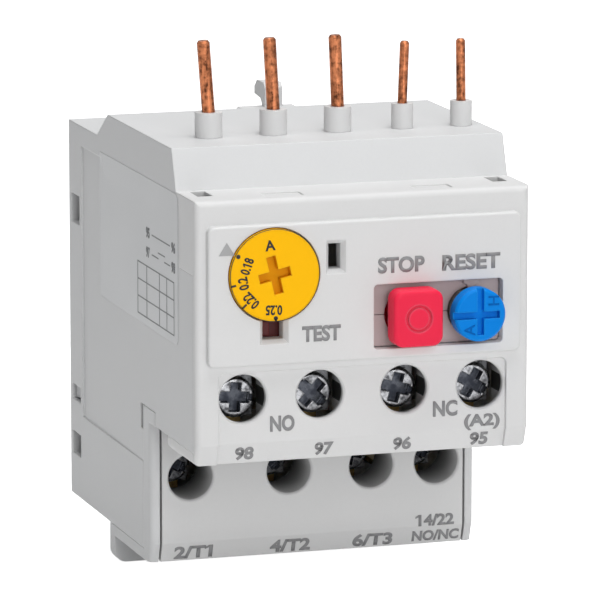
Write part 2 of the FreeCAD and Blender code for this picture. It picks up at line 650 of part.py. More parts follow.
def lower_panel():
    """The terminal panel between the columns, with a tube that leads the driver to each screw."""
    body = new_body("lower_panel")
    side = new_sketch(body, "side")
    outline(side, [
        ("lower_front", "lower_bend"), ("lower_front", "overhang_height - panel_gap"),
        ("lower_front + panel_wall", "overhang_height - panel_gap"),
        ("lower_front + panel_wall", "tray_bottom"), ("lower_front + lower_setback", "tray_bottom")])
    half = "width / 2 - column - frame_gap"
    pad(body, side, "2 * (%s)" % half, both=True)
    tubes = new_sketch(body, "front", "lower_front + panel_wall / 2")
    for place in LOAD_PLACES.values():
        circle(tubes, place, "load_height", "load_hole_radius + tube_wall")
    pad(body, tubes, "tube_length - panel_wall / 2", back=True)
    trim = new_sketch(body, "front", "lower_front")
    rectangle(trim, half, "width / 2 + 2 * wall", "0", "overhang_height")
    cut(body, trim, "tube_length + wall")
    holes = new_sketch(body, "front", "lower_front")
    rims = new_sketch(body, "front", "lower_front")
    for place in LOAD_PLACES.values():
        circle(holes, place, "load_height", "load_hole_radius")
        circle(rims, place, "load_height", "load_hole_radius + rim_chamfer")
    cut(body, holes, "tube_length + wall")
    rim = cut(body, rims, "rim_chamfer")
    rim.TaperAngle = -45
    return body


def rear_cover():
    """Closes the back.  Its hooks snap into the windows at the rear edge of the housing."""
    body = new_body("rear_cover")
    plate = new_sketch(body, "front", "depth - wall")
    half = "width / 2 - wall - fit_gap"
    rectangle(plate, "-(%s)" % half, half, "base_height + wall + fit_gap",
              "rear_ledge_height - wall - fit_gap")
    pad(body, plate, "wall", back=True)
    hooks = new_sketch(body, "top", "latch_2 + hook_rise")
    arm = "latch_rear - latch_depth + hook_rise"
    for sign in ("-", ""):
        outline(hooks, [
            ("%s(width / 2 - 2 * wall - fit_gap)" % sign, "depth - wall"),
            ("%s(%s)" % (sign, half), "depth - wall"),
            ("%s(%s)" % (sign, half), "latch_rear - hook_rise"),
            ("%s(width / 2 - wall / 3)" % sign, "latch_rear - hook_rise"),
            ("%s(%s)" % (sign, half), arm), ("%s(width / 2 - 2 * wall - fit_gap)" % sign, arm)])
    pad(body, hooks, "latch_2_tall - 3 * hook_rise")
    ribs = new_sketch(body, "front", "depth - wall")
    for place in ("-rib_pitch", "0", "rib_pitch"):
        rectangle(ribs, "%s - rib_width / 2" % place, "%s + rib_width / 2" % place, "rib_low",
                  "rib_top")
    pad(body, ribs, "rib_depth")
    return body


# ---------------------------------------------------------------------------------------------
# Pin sleeves, pins and the suspension hook
# ---------------------------------------------------------------------------------------------
def sleeves(name, places, radius, bore):
    tubes = []
    for place in places:
        collar = rod(place, "pin_row", "seat_height", radius, "collar_height")
        neck = rod(place, "pin_row", "seat_height - 2 * wall", "%s - sleeve_step" % radius,
                   "2 * wall")
        hole = rod(place, "pin_row", "seat_height - 3 * wall", "%s + sleeve_gap" % bore,
                   "collar_height + 4 * wall")
        tubes.append(less(joined([collar, neck]), [hole]))
    return on_bench(grouped(tubes), name)


def pin(name, place, radius, height, lean):
    """A round wire that stands straight in its sleeve and leans a little above it."""
    bend = "seat_height + collar_height"
    foot = rod(place, "pin_row", "pin_foot", radius, "%s - pin_foot" % bend)
    knee = doc.addObject("Part::Sphere", "knee")
    bind(knee, "Radius", radius)
    for axis, value in (("x", place), ("y", "pin_row"), ("z", bend)):
        bind(knee, "Placement.Base." + axis, value)
    length = "%s - collar_height - pin_tip" % height
    top = rod(place, "pin_row", bend, radius, length)
    tip = doc.addObject("Part::Cone", "tip")
    bind(tip, "Radius1", radius)
    bind(tip, "Radius2", "%s - pin_taper" % radius)
    bind(tip, "Height", "pin_tip")
    bind(tip, "Placement.Base.x", "%s - sin(%s) * (%s)" % (place, lean, length))
    bind(tip, "Placement.Base.y", "pin_row")
    bind(tip, "Placement.Base.z", "%s + cos(%s) * (%s)" % (bend, lean, length))
    for leaning in (top, tip):
        leaning.Placement.Rotation = FreeCAD.Rotation(V(0, 1, 0), -1)
        bind(leaning, "Placement.Rotation.Angle", "-(%s) * 1 deg" % lean)
    return on_bench(joined([foot, knee, top, tip]), name)


def suspension_hook():
    """A foot bar on the rear ledge with a stem, whose nose points back and grips the contactor."""
    body = new_body("suspension_hook")
    bar = new_sketch(body, "front", "hook_front - hook_corner")
    left, right = "hook_place - hook_bar_left", "hook_place + hook_bar_right"
    rectangle(bar, left, right, "rear_ledge_height", "hook_bar_height")
    pad(body, bar, "hook_bar_depth", back=True)
    nose = new_sketch(body, "side", "hook_place")
    root, tip = "hook_front + hook_stem", "hook_front + hook_reach"
    under = "hook_height - hook_nose"
    outline(nose, [
        ("hook_front", "rear_ledge_height + hook_corner"),
        ("hook_front", "hook_height - hook_corner"),
        ("hook_front + hook_corner", "hook_height"), ("%s - 2 * hook_corner" % tip, "hook_height"),
        (tip, "hook_height - hook_nose / 2"), (tip, under),
        ("%s + hook_corner" % root, "%s - hook_corner / 2" % under),
        (root, "%s - 3 * hook_corner / 2" % under), (root, "rear_ledge_height + hook_corner")])
    pad(body, nose, "hook_width", both=True)
    soften(body, "Chamfer", "hook_corner", lambda edge, middle:
           along(edge, ALONG_Y) and near(middle.z, "hook_bar_height")
           and (near(middle.x, left) or near(middle.x, right)))
    return body


# ---------------------------------------------------------------------------------------------
# Setting dial with its cam
# ---------------------------------------------------------------------------------------------
def setting_dial():
    body = new_body("setting_dial")
    face = "-(plate_rise + dial_proud)"
    disc = new_sketch(body, "front", face)
    circle(disc, "dial_place", "dial_height", "dial_radius")
    pad(body, disc, "dial_thickness", back=True)
    shaft = new_sketch(body, "front", face)
    circle(shaft, "dial_place", "dial_height", "dial_shaft")
    pad(body, shaft, "cam_front + cam_thickness + plate_rise + dial_proud", back=True)
    turn = math.radians(number("dial_turned"))
    cosine, sine = "%.6f" % math.cos(turn), "%.6f" % math.sin(turn)
    key = new_sketch(body, "front", face)
    half, wide, tall = "dial_key_width / 2", "dial_key_short / 2", "dial_key_long / 2"
    corners = [(half, tall), (half, half), (wide, half), (wide, "-" + half), (half, "-" + half),
               (half, "-" + tall), ("-" + half, "-" + tall), ("-" + half, "-" + half),
               ("-" + wide, "-" + half), ("-" + wide, half), ("-" + half, half), ("-" + half, tall)]
    outline(key, [
        ("dial_place + (%s) * %s - (%s) * %s" % (x, cosine, z, sine),
         "dial_height + (%s) * %s + (%s) * %s" % (x, sine, z, cosine)) for x, z in corners])
    cut(body, key, "dial_key_depth")
    soften(body, "Chamfer", "dial_edge", lambda edge, middle:
           isinstance(edge.Curve, Part.Circle) and near(edge.Curve.Radius, "dial_radius")
           and near(middle.y, face))
    return body


def dial_cam():
    """The eccentric on the dial's shaft that sets how far the trip lever must travel."""
    cam = rod("dial_place + cam_throw", "cam_front", "dial_height", "cam_radius", "cam_thickness", "y")
    bore = rod("dial_place", "cam_front - 1", "dial_height", "dial_shaft + press_gap",
               "cam_thickness + 2", "y")
    return on_bench(less(cam, [bore]), "dial_cam")


# ---------------------------------------------------------------------------------------------
# Button guides, buttons, plunger and springs
# ---------------------------------------------------------------------------------------------
def button_guide(name, low, high, upper):
    """Half of the guide behind the opening: a floor with a flange and two half bores."""
    body = new_body(name)
    floor = new_sketch(body, "front", "guide_floor")
    rectangle(floor, "recess_left + guide_gap", "recess_right - guide_gap", low, high)
    pad(body, floor, "wall - guide_floor + guide_thickness", back=True)
    soften(body, "Fillet", "recess_corner", lambda edge, middle:
           along(edge, ALONG_Y) and near(middle.z, high if upper else low))
    flange = new_sketch(body, "front", "wall + fit_gap")
    rectangle(flange, "recess_left - guide_flange", "recess_right + guide_flange",
              low if upper else "%s - guide_flange" % low,
              "%s + guide_flange" % high if upper else high)
    pad(body, flange, "guide_thickness - fit_gap", back=True)
    bores = new_sketch(body, "front", "guide_floor - plate_rise")
    circle(bores, "stop_place", "button_height", "stop_bore")
    circle(bores, "reset_place", "button_height", "reset_bore")
    cut(body, bores, "3 * wall + guide_thickness")
    if upper:
        pointer = new_sketch(body, "front", "guide_floor")
        top = "recess_top - guide_gap"
        root, tip = "pointer_width / 2", "pointer_width / 3.6"
        outline(pointer, [
            ("reset_place - %s" % root, top), ("reset_place - %s" % root, "%s - 0.5" % top),
            ("reset_place - %s" % tip, "%s - 0.7" % top),
            ("reset_place - %s / 2" % tip, "%s - pointer_tip" % top),
            ("reset_place + %s / 2" % tip, "%s - pointer_tip" % top),
            ("reset_place + %s" % tip, "%s - 0.7" % top),
            ("reset_place + %s" % root, "%s - 0.5" % top), ("reset_place + %s" % root, top)])
        pad(body, pointer, "pointer_rise")
    return body


def button_frame():
    """A bridge behind the guides that carries the two springs."""
    left, right = "recess_left - bridge_left", "recess_right + bridge_right"
    low, high = "button_height - bridge_half", "button_height + bridge_half"
    bridge = block(left, right, "spring_seat", "bridge_rear", low, high)
    arms = [block(left, "%s + bridge_arm" % left, "guide_rear", "bridge_rear", low, high),
            block("%s - bridge_arm" % right, right, "guide_rear", "bridge_rear", low, high)]
    studs = [rod(place, "spring_seat - stud_length", "button_height",
                 "spring_radius - 2 * spring_wire - collar_gap", "stud_length + bridge_thickness / 2",
                 "y")
             for place in ("stop_place", "reset_place")]
    return on_bench(joined([bridge] + arms + studs), "button_frame")


def stop_button():
    body = new_body("stop_button")
    cap = new_sketch(body, "front", "-button_face")
    rectangle(cap, "stop_place - stop_width / 2", "stop_place + stop_width / 2",
              "button_height - stop_tall / 2", "button_height + stop_tall / 2")
    pad(body, cap, "stop_thickness", back=True)
    soften(body, "Fillet", "stop_corner", lambda edge, middle: along(edge, ALONG_Y))
    soften(body, "Fillet", "cap_edge", lambda edge, middle: near(middle.y, "-button_face"))
    stem = new_sketch(body, "front", "stop_thickness - button_face")
    circle(stem, "stop_place", "button_height", "stop_stem")
    pad(body, stem, "stem_end - stop_thickness + button_face", back=True)
    collar = new_sketch(body, "front", "guide_rear + collar_gap")
    circle(collar, "stop_place", "button_height", "stop_bore + stop_collar")
    pad(body, collar, "collar_thickness", back=True)
    ring = new_sketch(body, "front", "-button_face")
    circle(ring, "stop_place", "button_height", "ring_outer")
    circle(ring, "stop_place", "button_height", "ring_inner")
    cut(body, ring, "ring_depth")
    return body


def reset_knob():
    """The blue cap: it turns on the plunger between hand and automatic reset."""
    body = new_body("reset_knob")
    face = "-button_face"
    disc = new_sketch(body, "front", face)
    circle(disc, "reset_place", "button_height", "reset_radius")
    pad(body, disc, "reset_thickness", back=True)
    soften(body, "Chamfer", "knob_chamfer", lambda edge, middle: near(middle.y, face))
    half = "reset_slot / 2"
    slots = new_sketch(body, "front", face)
    far = "(reset_radius + 1)"
    outline(slots, [
        ("reset_place - %s" % half, "button_height + %s" % far),
        ("reset_place - %s" % half, "button_height + %s" % half),
        ("reset_place - %s" % far, "button_height + %s" % half),
        ("reset_place - %s" % far, "button_height - %s" % half),
        ("reset_place - %s" % half, "button_height - %s" % half),
        ("reset_place - %s" % half, "button_height - reset_arm"),
        ("reset_place + %s" % half, "button_height - reset_arm"),
        ("reset_place + %s" % half, "button_height - %s" % half),
        ("reset_place + reset_arm", "button_height - %s" % half),
        ("reset_place + reset_arm", "button_height + %s" % half),
        ("reset_place + %s" % half, "button_height + %s" % half),
        ("reset_place + %s" % half, "button_height + %s" % far)])
    cut(body, slots, "reset_slot_depth")
    bore = new_sketch(body, "front", "reset_thickness - button_face")
    circle(bore, "reset_place", "button_height", "reset_spigot + fit_gap")
    cut(body, bore, "reset_thickness - reset_slot_depth - 5 * collar_gap", back=True)
    return body


def reset_plunger():
    """Slides in the guide.  Its spigot carries the knob and its collar stops it behind the guide."""
    body = new_body("reset_plunger")
    rear_of_knob = "reset_thickness - button_face"
    spigot = new_sketch(body, "front", "reset_slot_depth + 6 * collar_gap - button_face")
    circle(spigot, "reset_place", "button_height", "reset_spigot")
    pad(body, spigot, "guide_rear + button_face - reset_slot_depth - 6 * collar_gap", back=True)
    barrel = new_sketch(body, "front", "%s + collar_gap" % rear_of_knob)
    circle(barrel, "reset_place", "button_height", "reset_collar")
    pad(body, barrel, "stem_end - (%s) - collar_gap" % rear_of_knob, back=True)
    collar = new_sketch(body, "front", "guide_rear + collar_gap")
    circle(collar, "reset_place", "button_height", "reset_bore + stop_collar")
    pad(body, collar, "collar_thickness", back=True)
    return body


def button_spring(name, place):
    """A coil between the end of a stem and the bridge.  Its wire is six-sided to stay light."""
    helix = doc.addObject("Part::Helix", "helix")
    bind(helix, "Radius", "spring_radius")
    bind(helix, "Height", "spring_seat - stem_end - 2 * (spring_wire + fit_gap)")
    bind(helix, "Pitch", "(spring_seat - stem_end - 2 * (spring_wire + fit_gap)) / spring_turns")
    wire = doc.addObject("Part::RegularPolygon", "wire")
    wire.Polygon = 6
    bind(wire, "Circumradius", "spring_wire")
    wire.Placement.Rotation = FreeCAD.Rotation(V(1, 0, 0), 90)
    bind(wire, "Placement.Base.x", "spring_radius")
    coil = doc.addObject("Part::Sweep", "coil")
    coil.Sections = [wire]
    coil.Spine = (helix, [])
    coil.Solid = True
    coil.Frenet = True
    coil.Placement.Rotation = FreeCAD.Rotation(V(1, 0, 0), -90)
    bind(coil, "Placement.Base.x", place)
    bind(coil, "Placement.Base.y", "stem_end + spring_wire + fit_gap")
    bind(coil, "Placement.Base.z", "button_height")
    return on_bench(grouped([coil]), name)


# ---------------------------------------------------------------------------------------------
# Trip slider, contact carrier and contacts
# ---------------------------------------------------------------------------------------------
def trip_slider():
    """The red slider: its nub shows in the test slot and its flag comes into the window."""
    rear = "slider_front + slider_thickness"
    slot = "dial_place - test_width / 2"
    bar = block("%s - carrier_shift / 2" % slot, "carrier_right", "slider_front", rear,
                "slider_low", "slider_top")
    flag = block("carrier_left", "carrier_right", "slider_front", rear, "slider_low",
                 "window_height + window_tall / 2 + slider_drop")
    nub = block("%s + dial_gap" % slot, "%s + dial_gap + nub_width" % slot, "nub_front", rear,
                "test_low + slider_drop", "slider_top - slider_below")
    return on_bench(joined([bar, flag, nub]), "trip_slider")


def contact_carrier():
    front = "slider_front + slider_thickness"
    stem = block("carrier_left", "carrier_right", front, "carrier_rear", "carrier_low",
                 "carrier_top")
    relief = block("carrier_left + carrier_wall", "carrier_right - carrier_wall",
                   "%s + carrier_end" % front, "carrier_rear - carrier_end",
                   "carrier_low + carrier_wall", "carrier_top + carrier_wall")
    return on_bench(less(stem, [relief]), "contact_carrier")


def moving_contacts():
    """Two bridges on the carrier: the left one rests closed, the right one closes on a trip."""
    low, high = "carrier_low + carrier_end", "carrier_top - contact_clear"
    front, rear = "contact_front - contact_clear / 2", "contact_rear + contact_clear / 2"
    closed = block("carrier_left - blade", "carrier_left", front, rear, low, high)
    made = block("carrier_right", "carrier_right + blade", front, rear, low, high)
    return on_bench(grouped([closed, made]), "moving_contacts")


def stamped_terminal(name, place, top, strips):
    """A stamped brass terminal: a tapped plate, and the strips that carry it to its contact."""
    plate = block("%s - terminal_half" % place, "%s + terminal_half" % place, "aux_plate_front",
                  "aux_plate_rear", "overhang_height + wall + guide_gap", "panel_top + strip_gap")
    neck = block("%s - strip_half" % place, "%s + strip_half" % place, "aux_plate_front",
                 "aux_plate_rear", "panel_top", top)
    legs = [block(*strip) for strip in strips]
    hole = rod(place, "aux_plate_front - 1", "aux_screw_height", "shank_radius + shank_gap",
               "terminal_thickness + 2", "y")
    return on_bench(less(joined([plate, neck] + legs), [hole]), name)


def control_terminals():
    open_from = "carrier_right + blade + contact_gap"
    open_to = "%s + blade" % open_from
    shut_to = "carrier_left - blade - contact_touch"
    shut_from = "%s - blade" % shut_to
    front_row = "contact_front + contact_depth"
    rear_row = "contact_front + contact_pitch"
    strap = "%s - terminal_thickness"
    lower, upper = "panel_top + 2 * strip_gap", "panel_top + 3 * strip_gap + strip_thickness"
    stamped_terminal("terminal_98", "-aux_outer", "%s + strip_thickness" % lower, [
        ("-aux_outer - strip_half", "-aux_outer + strip_half", "aux_plate_front", "contact_rear",
         lower, "%s + strip_thickness" % lower),
        ("-aux_outer - strip_half", open_to, strap % "contact_rear", "contact_rear", lower,
         "%s + strip_thickness" % lower),
        (open_from, open_to, rear_row, "contact_rear", lower, "carrier_top")])
    stamped_terminal("terminal_97", "-aux_inner", "%s + strip_thickness" % upper, [
        ("-aux_inner - strip_half", open_to, "contact_front", "aux_plate_rear", upper,
         "%s + strip_thickness" % upper),
        (open_from, open_to, "contact_front", front_row, upper, "carrier_top")])
    stamped_terminal("terminal_96", "aux_inner", "strap_high", [
        (shut_from, "aux_inner + strip_half", strap % front_row, front_row, "strap_low",
         "strap_high"),
        (shut_from, shut_to, "contact_front", front_row, "carrier_low + carrier_end",
         "strap_high")])
    stamped_terminal("terminal_95", "aux_outer", "strap_high", [
        ("aux_outer - strip_half", "aux_outer + strip_half", "aux_plate_front", "contact_rear",
         "strap_low", "strap_high"),
        (shut_from, "aux_outer + strip_half", strap % "contact_rear", "contact_rear", "strap_low",
         "strap_high"),
        (shut_from, shut_to, rear_row, "contact_rear", "carrier_low + carrier_end",
         "strap_high")])


# ---------------------------------------------------------------------------------------------
# Terminal screws and saddle clamps
# ---------------------------------------------------------------------------------------------
def terminal_screw(name, place, height, head_depth, turned):
    """A combined cross and slot screw with a bevelled head, modelled with its plain shank."""
    head = rod("0", "head_edge", "0", "head_radius", "head_height - head_edge", "y")
    bevel = doc.addObject("Part::Cone", "bevel")
    bind(bevel, "Radius1", "head_radius - head_edge")
    bind(bevel, "Radius2", "head_radius")
    bind(bevel, "Height", "head_edge")
    bevel.Placement.Rotation = FreeCAD.Rotation(V(1, 0, 0), -90)
    shank = rod("0", "head_height / 2", "0", "shank_radius", "head_height / 2 + shank_length", "y")
    slot = block("-head_radius - 1", "head_radius + 1", "-1", "slot_depth", "-slot_width / 2",
                 "slot_width / 2")
    arms = [block("-cross_length / 2", "cross_length / 2", "-1", "slot_depth + cross_extra",
                  "-cross_width / 2", "cross_width / 2"),
            block("-cross_width / 2", "cross_width / 2", "-1", "slot_depth + cross_extra",
                  "-cross_length / 2", "cross_length / 2")]
    screw = less(joined([head, bevel, shank]), [slot] + arms)
    screw.Placement.Rotation = FreeCAD.Rotation(V(0, 1, 0), turned)
    screw.Label = name
    bind(screw, "Placement.Base.x", place)
    bind(screw, "Placement.Base.y", "%s - pin_row" % head_depth)
    bind(screw, "Placement.Base.z", "%s - seat_height" % height)
    pieces[name] = screw
    return screw


def saddle_clamp(name, place, height, head_depth):
    """The square plate that travels with the screw and presses the wire on the terminal."""
    front = "%s + head_height + clamp_gap" % head_depth
    rear = "%s + clamp_thickness" % front
    left, right = "%s - clamp_half" % place, "%s + clamp_half" % place
    low, high = "%s - clamp_half" % height, "%s + clamp_half" % height
    plate = block(left, right, front, rear, low, high)
    lips = [block(left, "%s + clamp_lip" % left, front, "%s + clamp_lip" % rear, low, high),
            block("%s - clamp_lip" % right, right, front, "%s + clamp_lip" % rear, low, high)]
    hole = rod(place, "%s - 1" % front, height, "shank_radius + shank_gap + collar_gap / 3",
               "clamp_thickness + 3", "y")
    return on_bench(less(joined([plate] + lips), [hole]), name)


def terminals():
    turns = {"98": 4, "97": 42, "96": 14, "95": 30}
    for label, place in AUX_PLACES.items():
        terminal_screw("screw_" + label, place, "aux_screw_height", "aux_head_depth", turns[label])
        saddle_clamp("clamp_" + label, place, "aux_screw_height", "aux_head_depth")
    turns = {"t1": 25, "t2": 50, "t3": 10, "no": 35}
    for label, place in LOAD_PLACES.items():
        terminal_screw("screw_" + label, place, "load_height", "load_head_depth", turns[label])
        saddle_clamp("clamp_" + label, place, "load_height", "load_head_depth")


# ---------------------------------------------------------------------------------------------
# Current path: load terminals, bimetal strips with their heaters, and the leads to the pins
# ---------------------------------------------------------------------------------------------
def load_terminal(name, place, strips):
    plate = block("%s - terminal_half" % place, "%s + terminal_half" % place, "load_plate_front",
                  "load_plate_front + terminal_thickness", "load_height - load_plate_below",
                  "load_height + load_plate_above")
    legs = [block(*strip) for strip in strips]
    hole = rod(place, "load_plate_front - 1", "load_height", "shank_radius + shank_gap",
               "terminal_thickness + 2", "y")
    return on_bench(less(joined([plate] + legs), [hole]), name)


def load_terminals():
    low, high = "bimetal_foot - terminal_thickness", "bimetal_foot"
    front, rear = "bimetal_front - strip_gap", "bimetal_rear + strip_gap"
    for label, pole in zip(("t1", "t2", "t3"), PIN_PLACES):
        place = LOAD_PLACES[label]
        left, right = sorted((place, pole), key=number)
        load_terminal("load_terminal_" + label, place, [
            ("%s - strip_half" % place, "%s + strip_half" % place, "load_plate_front", rear, low,
             high),
            ("%s - strip_half" % left, "%s + strip_half" % right, front, rear, low, high)])
    # the auxiliary terminal runs behind the heaters and up to its pin
    low, high = "bimetal_foot - 3 * strip_thickness", "bimetal_foot - 2 * strip_thickness"
    back = "bimetal_rear + heater_pitch + strip_thickness"
    bridge, middle = "pin_foot - 6 * strip_thickness", "pin_foot - 5 * strip_thickness"
    left, right = "aux_pin_place - pin_wide", "aux_pin_place + pin_wide"
    load_terminal("load_terminal_no", "load_4", [
        ("load_4 - strip_half", "load_4 + strip_half", "load_plate_front", back, low, high),
        (left, "load_4 + strip_half", "%s - 2 * strip_half" % back, back, low, high),
        (left, right, "%s - strip_thickness" % back, back, low, bridge)])
    on_bench(joined([
        block(left, right, "pin_row - pin_wide", back, bridge, middle),
        block(left, right, "pin_row - pin_wide", "pin_row + pin_wide", middle, "pin_foot")]),
        "through_link")
    left, right = "coil_pin_place - pin_wide", "coil_pin_place + pin_wide"
    on_bench(joined([
        block(left, right, "pin_row - pin_wide", "pin_row + pin_wide", "strap_low", "pin_foot"),
        block("aux_outer - strip_half", right, "contact_rear", "pin_row + pin_wide", "strap_low",
              "strap_high")]), "coil_link")


def heater_poles():
    strips, windings, leads = [], [], []
    for pole in PIN_PLACES:
        strips.append(block("%s - bimetal_thickness / 2" % pole, "%s + bimetal_thickness / 2" % pole,
                            "bimetal_front", "bimetal_rear", "bimetal_foot", "bimetal_top"))
        loops = []
        front, rear = "bimetal_front - heater_gap", "bimetal_rear + heater_gap"
        for turn in range(int(number("heater_count"))):
            low = "heater_low + %d * heater_pitch" % turn
            outer = block("%s - heater_reach" % pole, "%s + heater_reach" % pole, front, rear, low,
                          "%s + heater_loop" % low)
            inner = block("%s - heater_reach + heater_wall" % pole,
                          "%s + heater_reach - heater_wall" % pole, "%s + heater_wall" % front,
                          "%s - heater_wall" % rear, "%s - 1" % low, "%s + heater_loop + 1" % low)
            loops.append(less(outer, [inner]))
        for turn in range(int(number("heater_count")) - 1):
            side = "-" if turn % 2 else "+"
            start = "%s %s (heater_reach - heater_wall / 2) - heater_wall / 2" % (pole, side)
            loops.append(block(start, "%s + heater_wall" % start, front, "%s + strip_half" % front,
                               "heater_low + %d * heater_pitch + heater_loop" % turn,
                               "heater_low + %d * heater_pitch" % (turn + 1)))
        windings.append(joined(loops))
        top = "heater_low + (heater_count - 1) * heater_pitch"
        leads.append(joined([
            block("%s - strip_half" % pole, "%s + strip_half" % pole, "pin_row - pin_wide", front,
                  "pin_foot - strip_thickness", "pin_foot"),
            block("%s - strip_half" % pole, "%s + strip_half" % pole,
                  "%s - strip_thickness" % front, front, top, "pin_foot")]))
    on_bench(grouped(strips), "bimetal_strips")
    on_bench(grouped(windings), "heater_windings")
    on_bench(grouped(leads), "heater_leads")


# ---------------------------------------------------------------------------------------------
# Trip linkage
# ---------------------------------------------------------------------------------------------
def push_slide():
    """The comb that the bending bimetal tips push sideways."""
    left, right = "pin_first - lever_width - heater_reach", "lever_place - lever_width / 2"
    low, high = "slide_low", "slide_low + slide_thickness"
    bar = block(left, "%s - contact_touch" % right, "bimetal_front - 2 * slide_gap",
                "bimetal_rear + 2 * slide_gap", low, high)
    slots = [block("%s - bimetal_thickness / 2 - slide_gap - slide_travel" % pole,
                   "%s + bimetal_thickness / 2 + slide_gap" % pole, "bimetal_front - slide_gap / 2",
                   "bimetal_rear + slide_gap / 2", "%s - 1" % low, "%s + 1" % high)
             for pole in PIN_PLACES]
    return on_bench(less(bar, slots), "push_slide")


def compensating_lever():
    left, right = "lever_place - lever_width / 2", "lever_place + lever_width / 2"
    low, high = "slide_low", "slide_low + slide_thickness"
    bar = block(left, right, "lever_front", "lever_rear", low, high)
    hub = rod("lever_place", "lever_pivot", low, "pivot_radius + hub_wall", "slide_thickness")
    bore = rod("lever_place", "lever_pivot", "%s - 1" % low, "pivot_radius + shank_gap",
               "slide_thickness + 2")
    return on_bench(less(joined([bar, hub]), [bore]), "compensating_lever")


def lever_bracket():
    """A bracket on the right wall whose pin carries the lever."""
    high = "slide_low - shelf_gap"
    low = "%s - shelf_thickness" % high
    shelf = block("lever_place - shelf_half", "width / 2 - wall", "lever_pivot - shelf_half",
                  "lever_pivot + shelf_half", low, high)
    post = rod("lever_place", "lever_pivot", low, "pivot_radius",
               "shelf_thickness + 2 * shelf_gap + slide_thickness + shelf_gap")
    return on_bench(joined([shelf, post]), "lever_bracket")


# ---------------------------------------------------------------------------------------------
# Make every piece, check it and write it
# ---------------------------------------------------------------------------------------------
main_housing()
front_cover()
lower_frame()
lower_panel()
rear_cover()
sleeves("load_pin_sleeves", PIN_PLACES, "collar_radius", "load_pin_radius")
sleeves("aux_pin_sleeves", ["aux_pin_place", "coil_pin_place"], "aux_collar_radius",
        "aux_pin_radius")
for number_of, (place, lean) in enumerate(zip(PIN_PLACES, ("lean_1", "lean_2", "lean_3")), start=1):
    pin("load_pin_%d" % number_of, place, "load_pin_radius", "load_pin_height", lean)
pin("aux_pin", "aux_pin_place", "aux_pin_radius", "aux_pin_height", "lean_4")
pin("coil_pin", "coil_pin_place", "aux_pin_radius", "aux_pin_height", "lean_5")
suspension_hook()
setting_dial()
dial_cam()
button_guide("lower_button_guide", "recess_low + guide_gap", "button_height - fit_gap", False)
button_guide("upper_button_guide", "button_height + fit_gap", "recess_top - guide_gap", True)
button_frame()
stop_button()
reset_knob()
reset_plunger()
button_spring("stop_spring", "stop_place")
button_spring("reset_spring", "reset_place")
trip_slider()
contact_carrier()
moving_contacts()
control_terminals()
terminals()
load_terminals()
heater_poles()
push_slide()
compensating_lever()
lever_bracket()

doc.recompute()
for thing in doc.Objects:
    if "Invalid" in thing.State or "Error" in thing.State:
        raise RuntimeError("%s (%s) failed: %s" % (thing.Name, thing.Label, thing.State))
os.makedirs("parts", exist_ok=True)
for name, piece in pieces.items():
    shape = piece.Shape
    if shape.isNull() or not shape.isValid() or not shape.Solids:
        raise RuntimeError("%s has no sound solid" % name)
    shape.exportStep("parts/%s.step" % name)
    box = shape.BoundBox
    print("%-22s solids %d  volume %8.1f  x %6.1f %6.1f  y %6.1f %6.1f  z %6.1f %6.1f" % (
        name, len(shape.Solids), shape.Volume, box.XMin, box.XMax, box.YMin, box.YMax, box.ZMin,
        box.ZMax))
print("%d pieces" % len(pieces))
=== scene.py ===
# %% [markdown]
# # Thermal overload relay
#
# The relay is built in CAD and arrives here as a fixed frame: every moulding, pin, screw and button
# is already in its place.  This script gives those pieces their finishes and adds what is printed
# or stuck on them: the function markings, the dial's scale and the plain label on the side.  It
# also copies the two button springs onto the housing.  Everything is in metres, and the
# origin is in the middle of the top seat, on the row of pins.

import math

import bmesh
import bpy
from mathutils import Matrix, Vector


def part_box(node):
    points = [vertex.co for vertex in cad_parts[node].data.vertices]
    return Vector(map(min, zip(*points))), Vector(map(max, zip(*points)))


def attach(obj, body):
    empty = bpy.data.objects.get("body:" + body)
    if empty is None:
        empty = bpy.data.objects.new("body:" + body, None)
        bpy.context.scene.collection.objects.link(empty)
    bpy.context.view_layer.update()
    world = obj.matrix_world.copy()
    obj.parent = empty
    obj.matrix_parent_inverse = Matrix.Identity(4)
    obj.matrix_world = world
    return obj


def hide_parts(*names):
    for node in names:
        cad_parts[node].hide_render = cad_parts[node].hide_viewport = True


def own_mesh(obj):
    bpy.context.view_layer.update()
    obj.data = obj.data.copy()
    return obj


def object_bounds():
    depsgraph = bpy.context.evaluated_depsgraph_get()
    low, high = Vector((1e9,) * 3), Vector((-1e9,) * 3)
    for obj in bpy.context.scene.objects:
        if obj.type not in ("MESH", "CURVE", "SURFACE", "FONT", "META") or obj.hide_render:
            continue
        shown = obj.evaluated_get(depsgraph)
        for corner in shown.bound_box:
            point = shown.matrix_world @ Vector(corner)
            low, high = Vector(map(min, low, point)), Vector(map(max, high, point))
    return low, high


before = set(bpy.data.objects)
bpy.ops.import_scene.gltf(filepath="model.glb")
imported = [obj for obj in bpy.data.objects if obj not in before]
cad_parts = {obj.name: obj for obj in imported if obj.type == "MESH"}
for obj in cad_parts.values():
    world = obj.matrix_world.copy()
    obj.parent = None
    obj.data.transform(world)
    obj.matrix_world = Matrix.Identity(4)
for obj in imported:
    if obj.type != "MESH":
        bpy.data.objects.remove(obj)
cad_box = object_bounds()
MM = 0.001
SEAT = Vector((0.0, 18.55, 57.4))


def bench(x, y, z):
    """A point measured in millimetres from the front face, the foot and the middle of the part."""
    return (Vector((x, y, z)) - SEAT) * MM


# %% [markdown]
# ## Camera
# A long lens from the front left, a little above the relay, keeps the verticals straight.  The
# camera looks along one direction, so a small function turns that direction into a rotation.

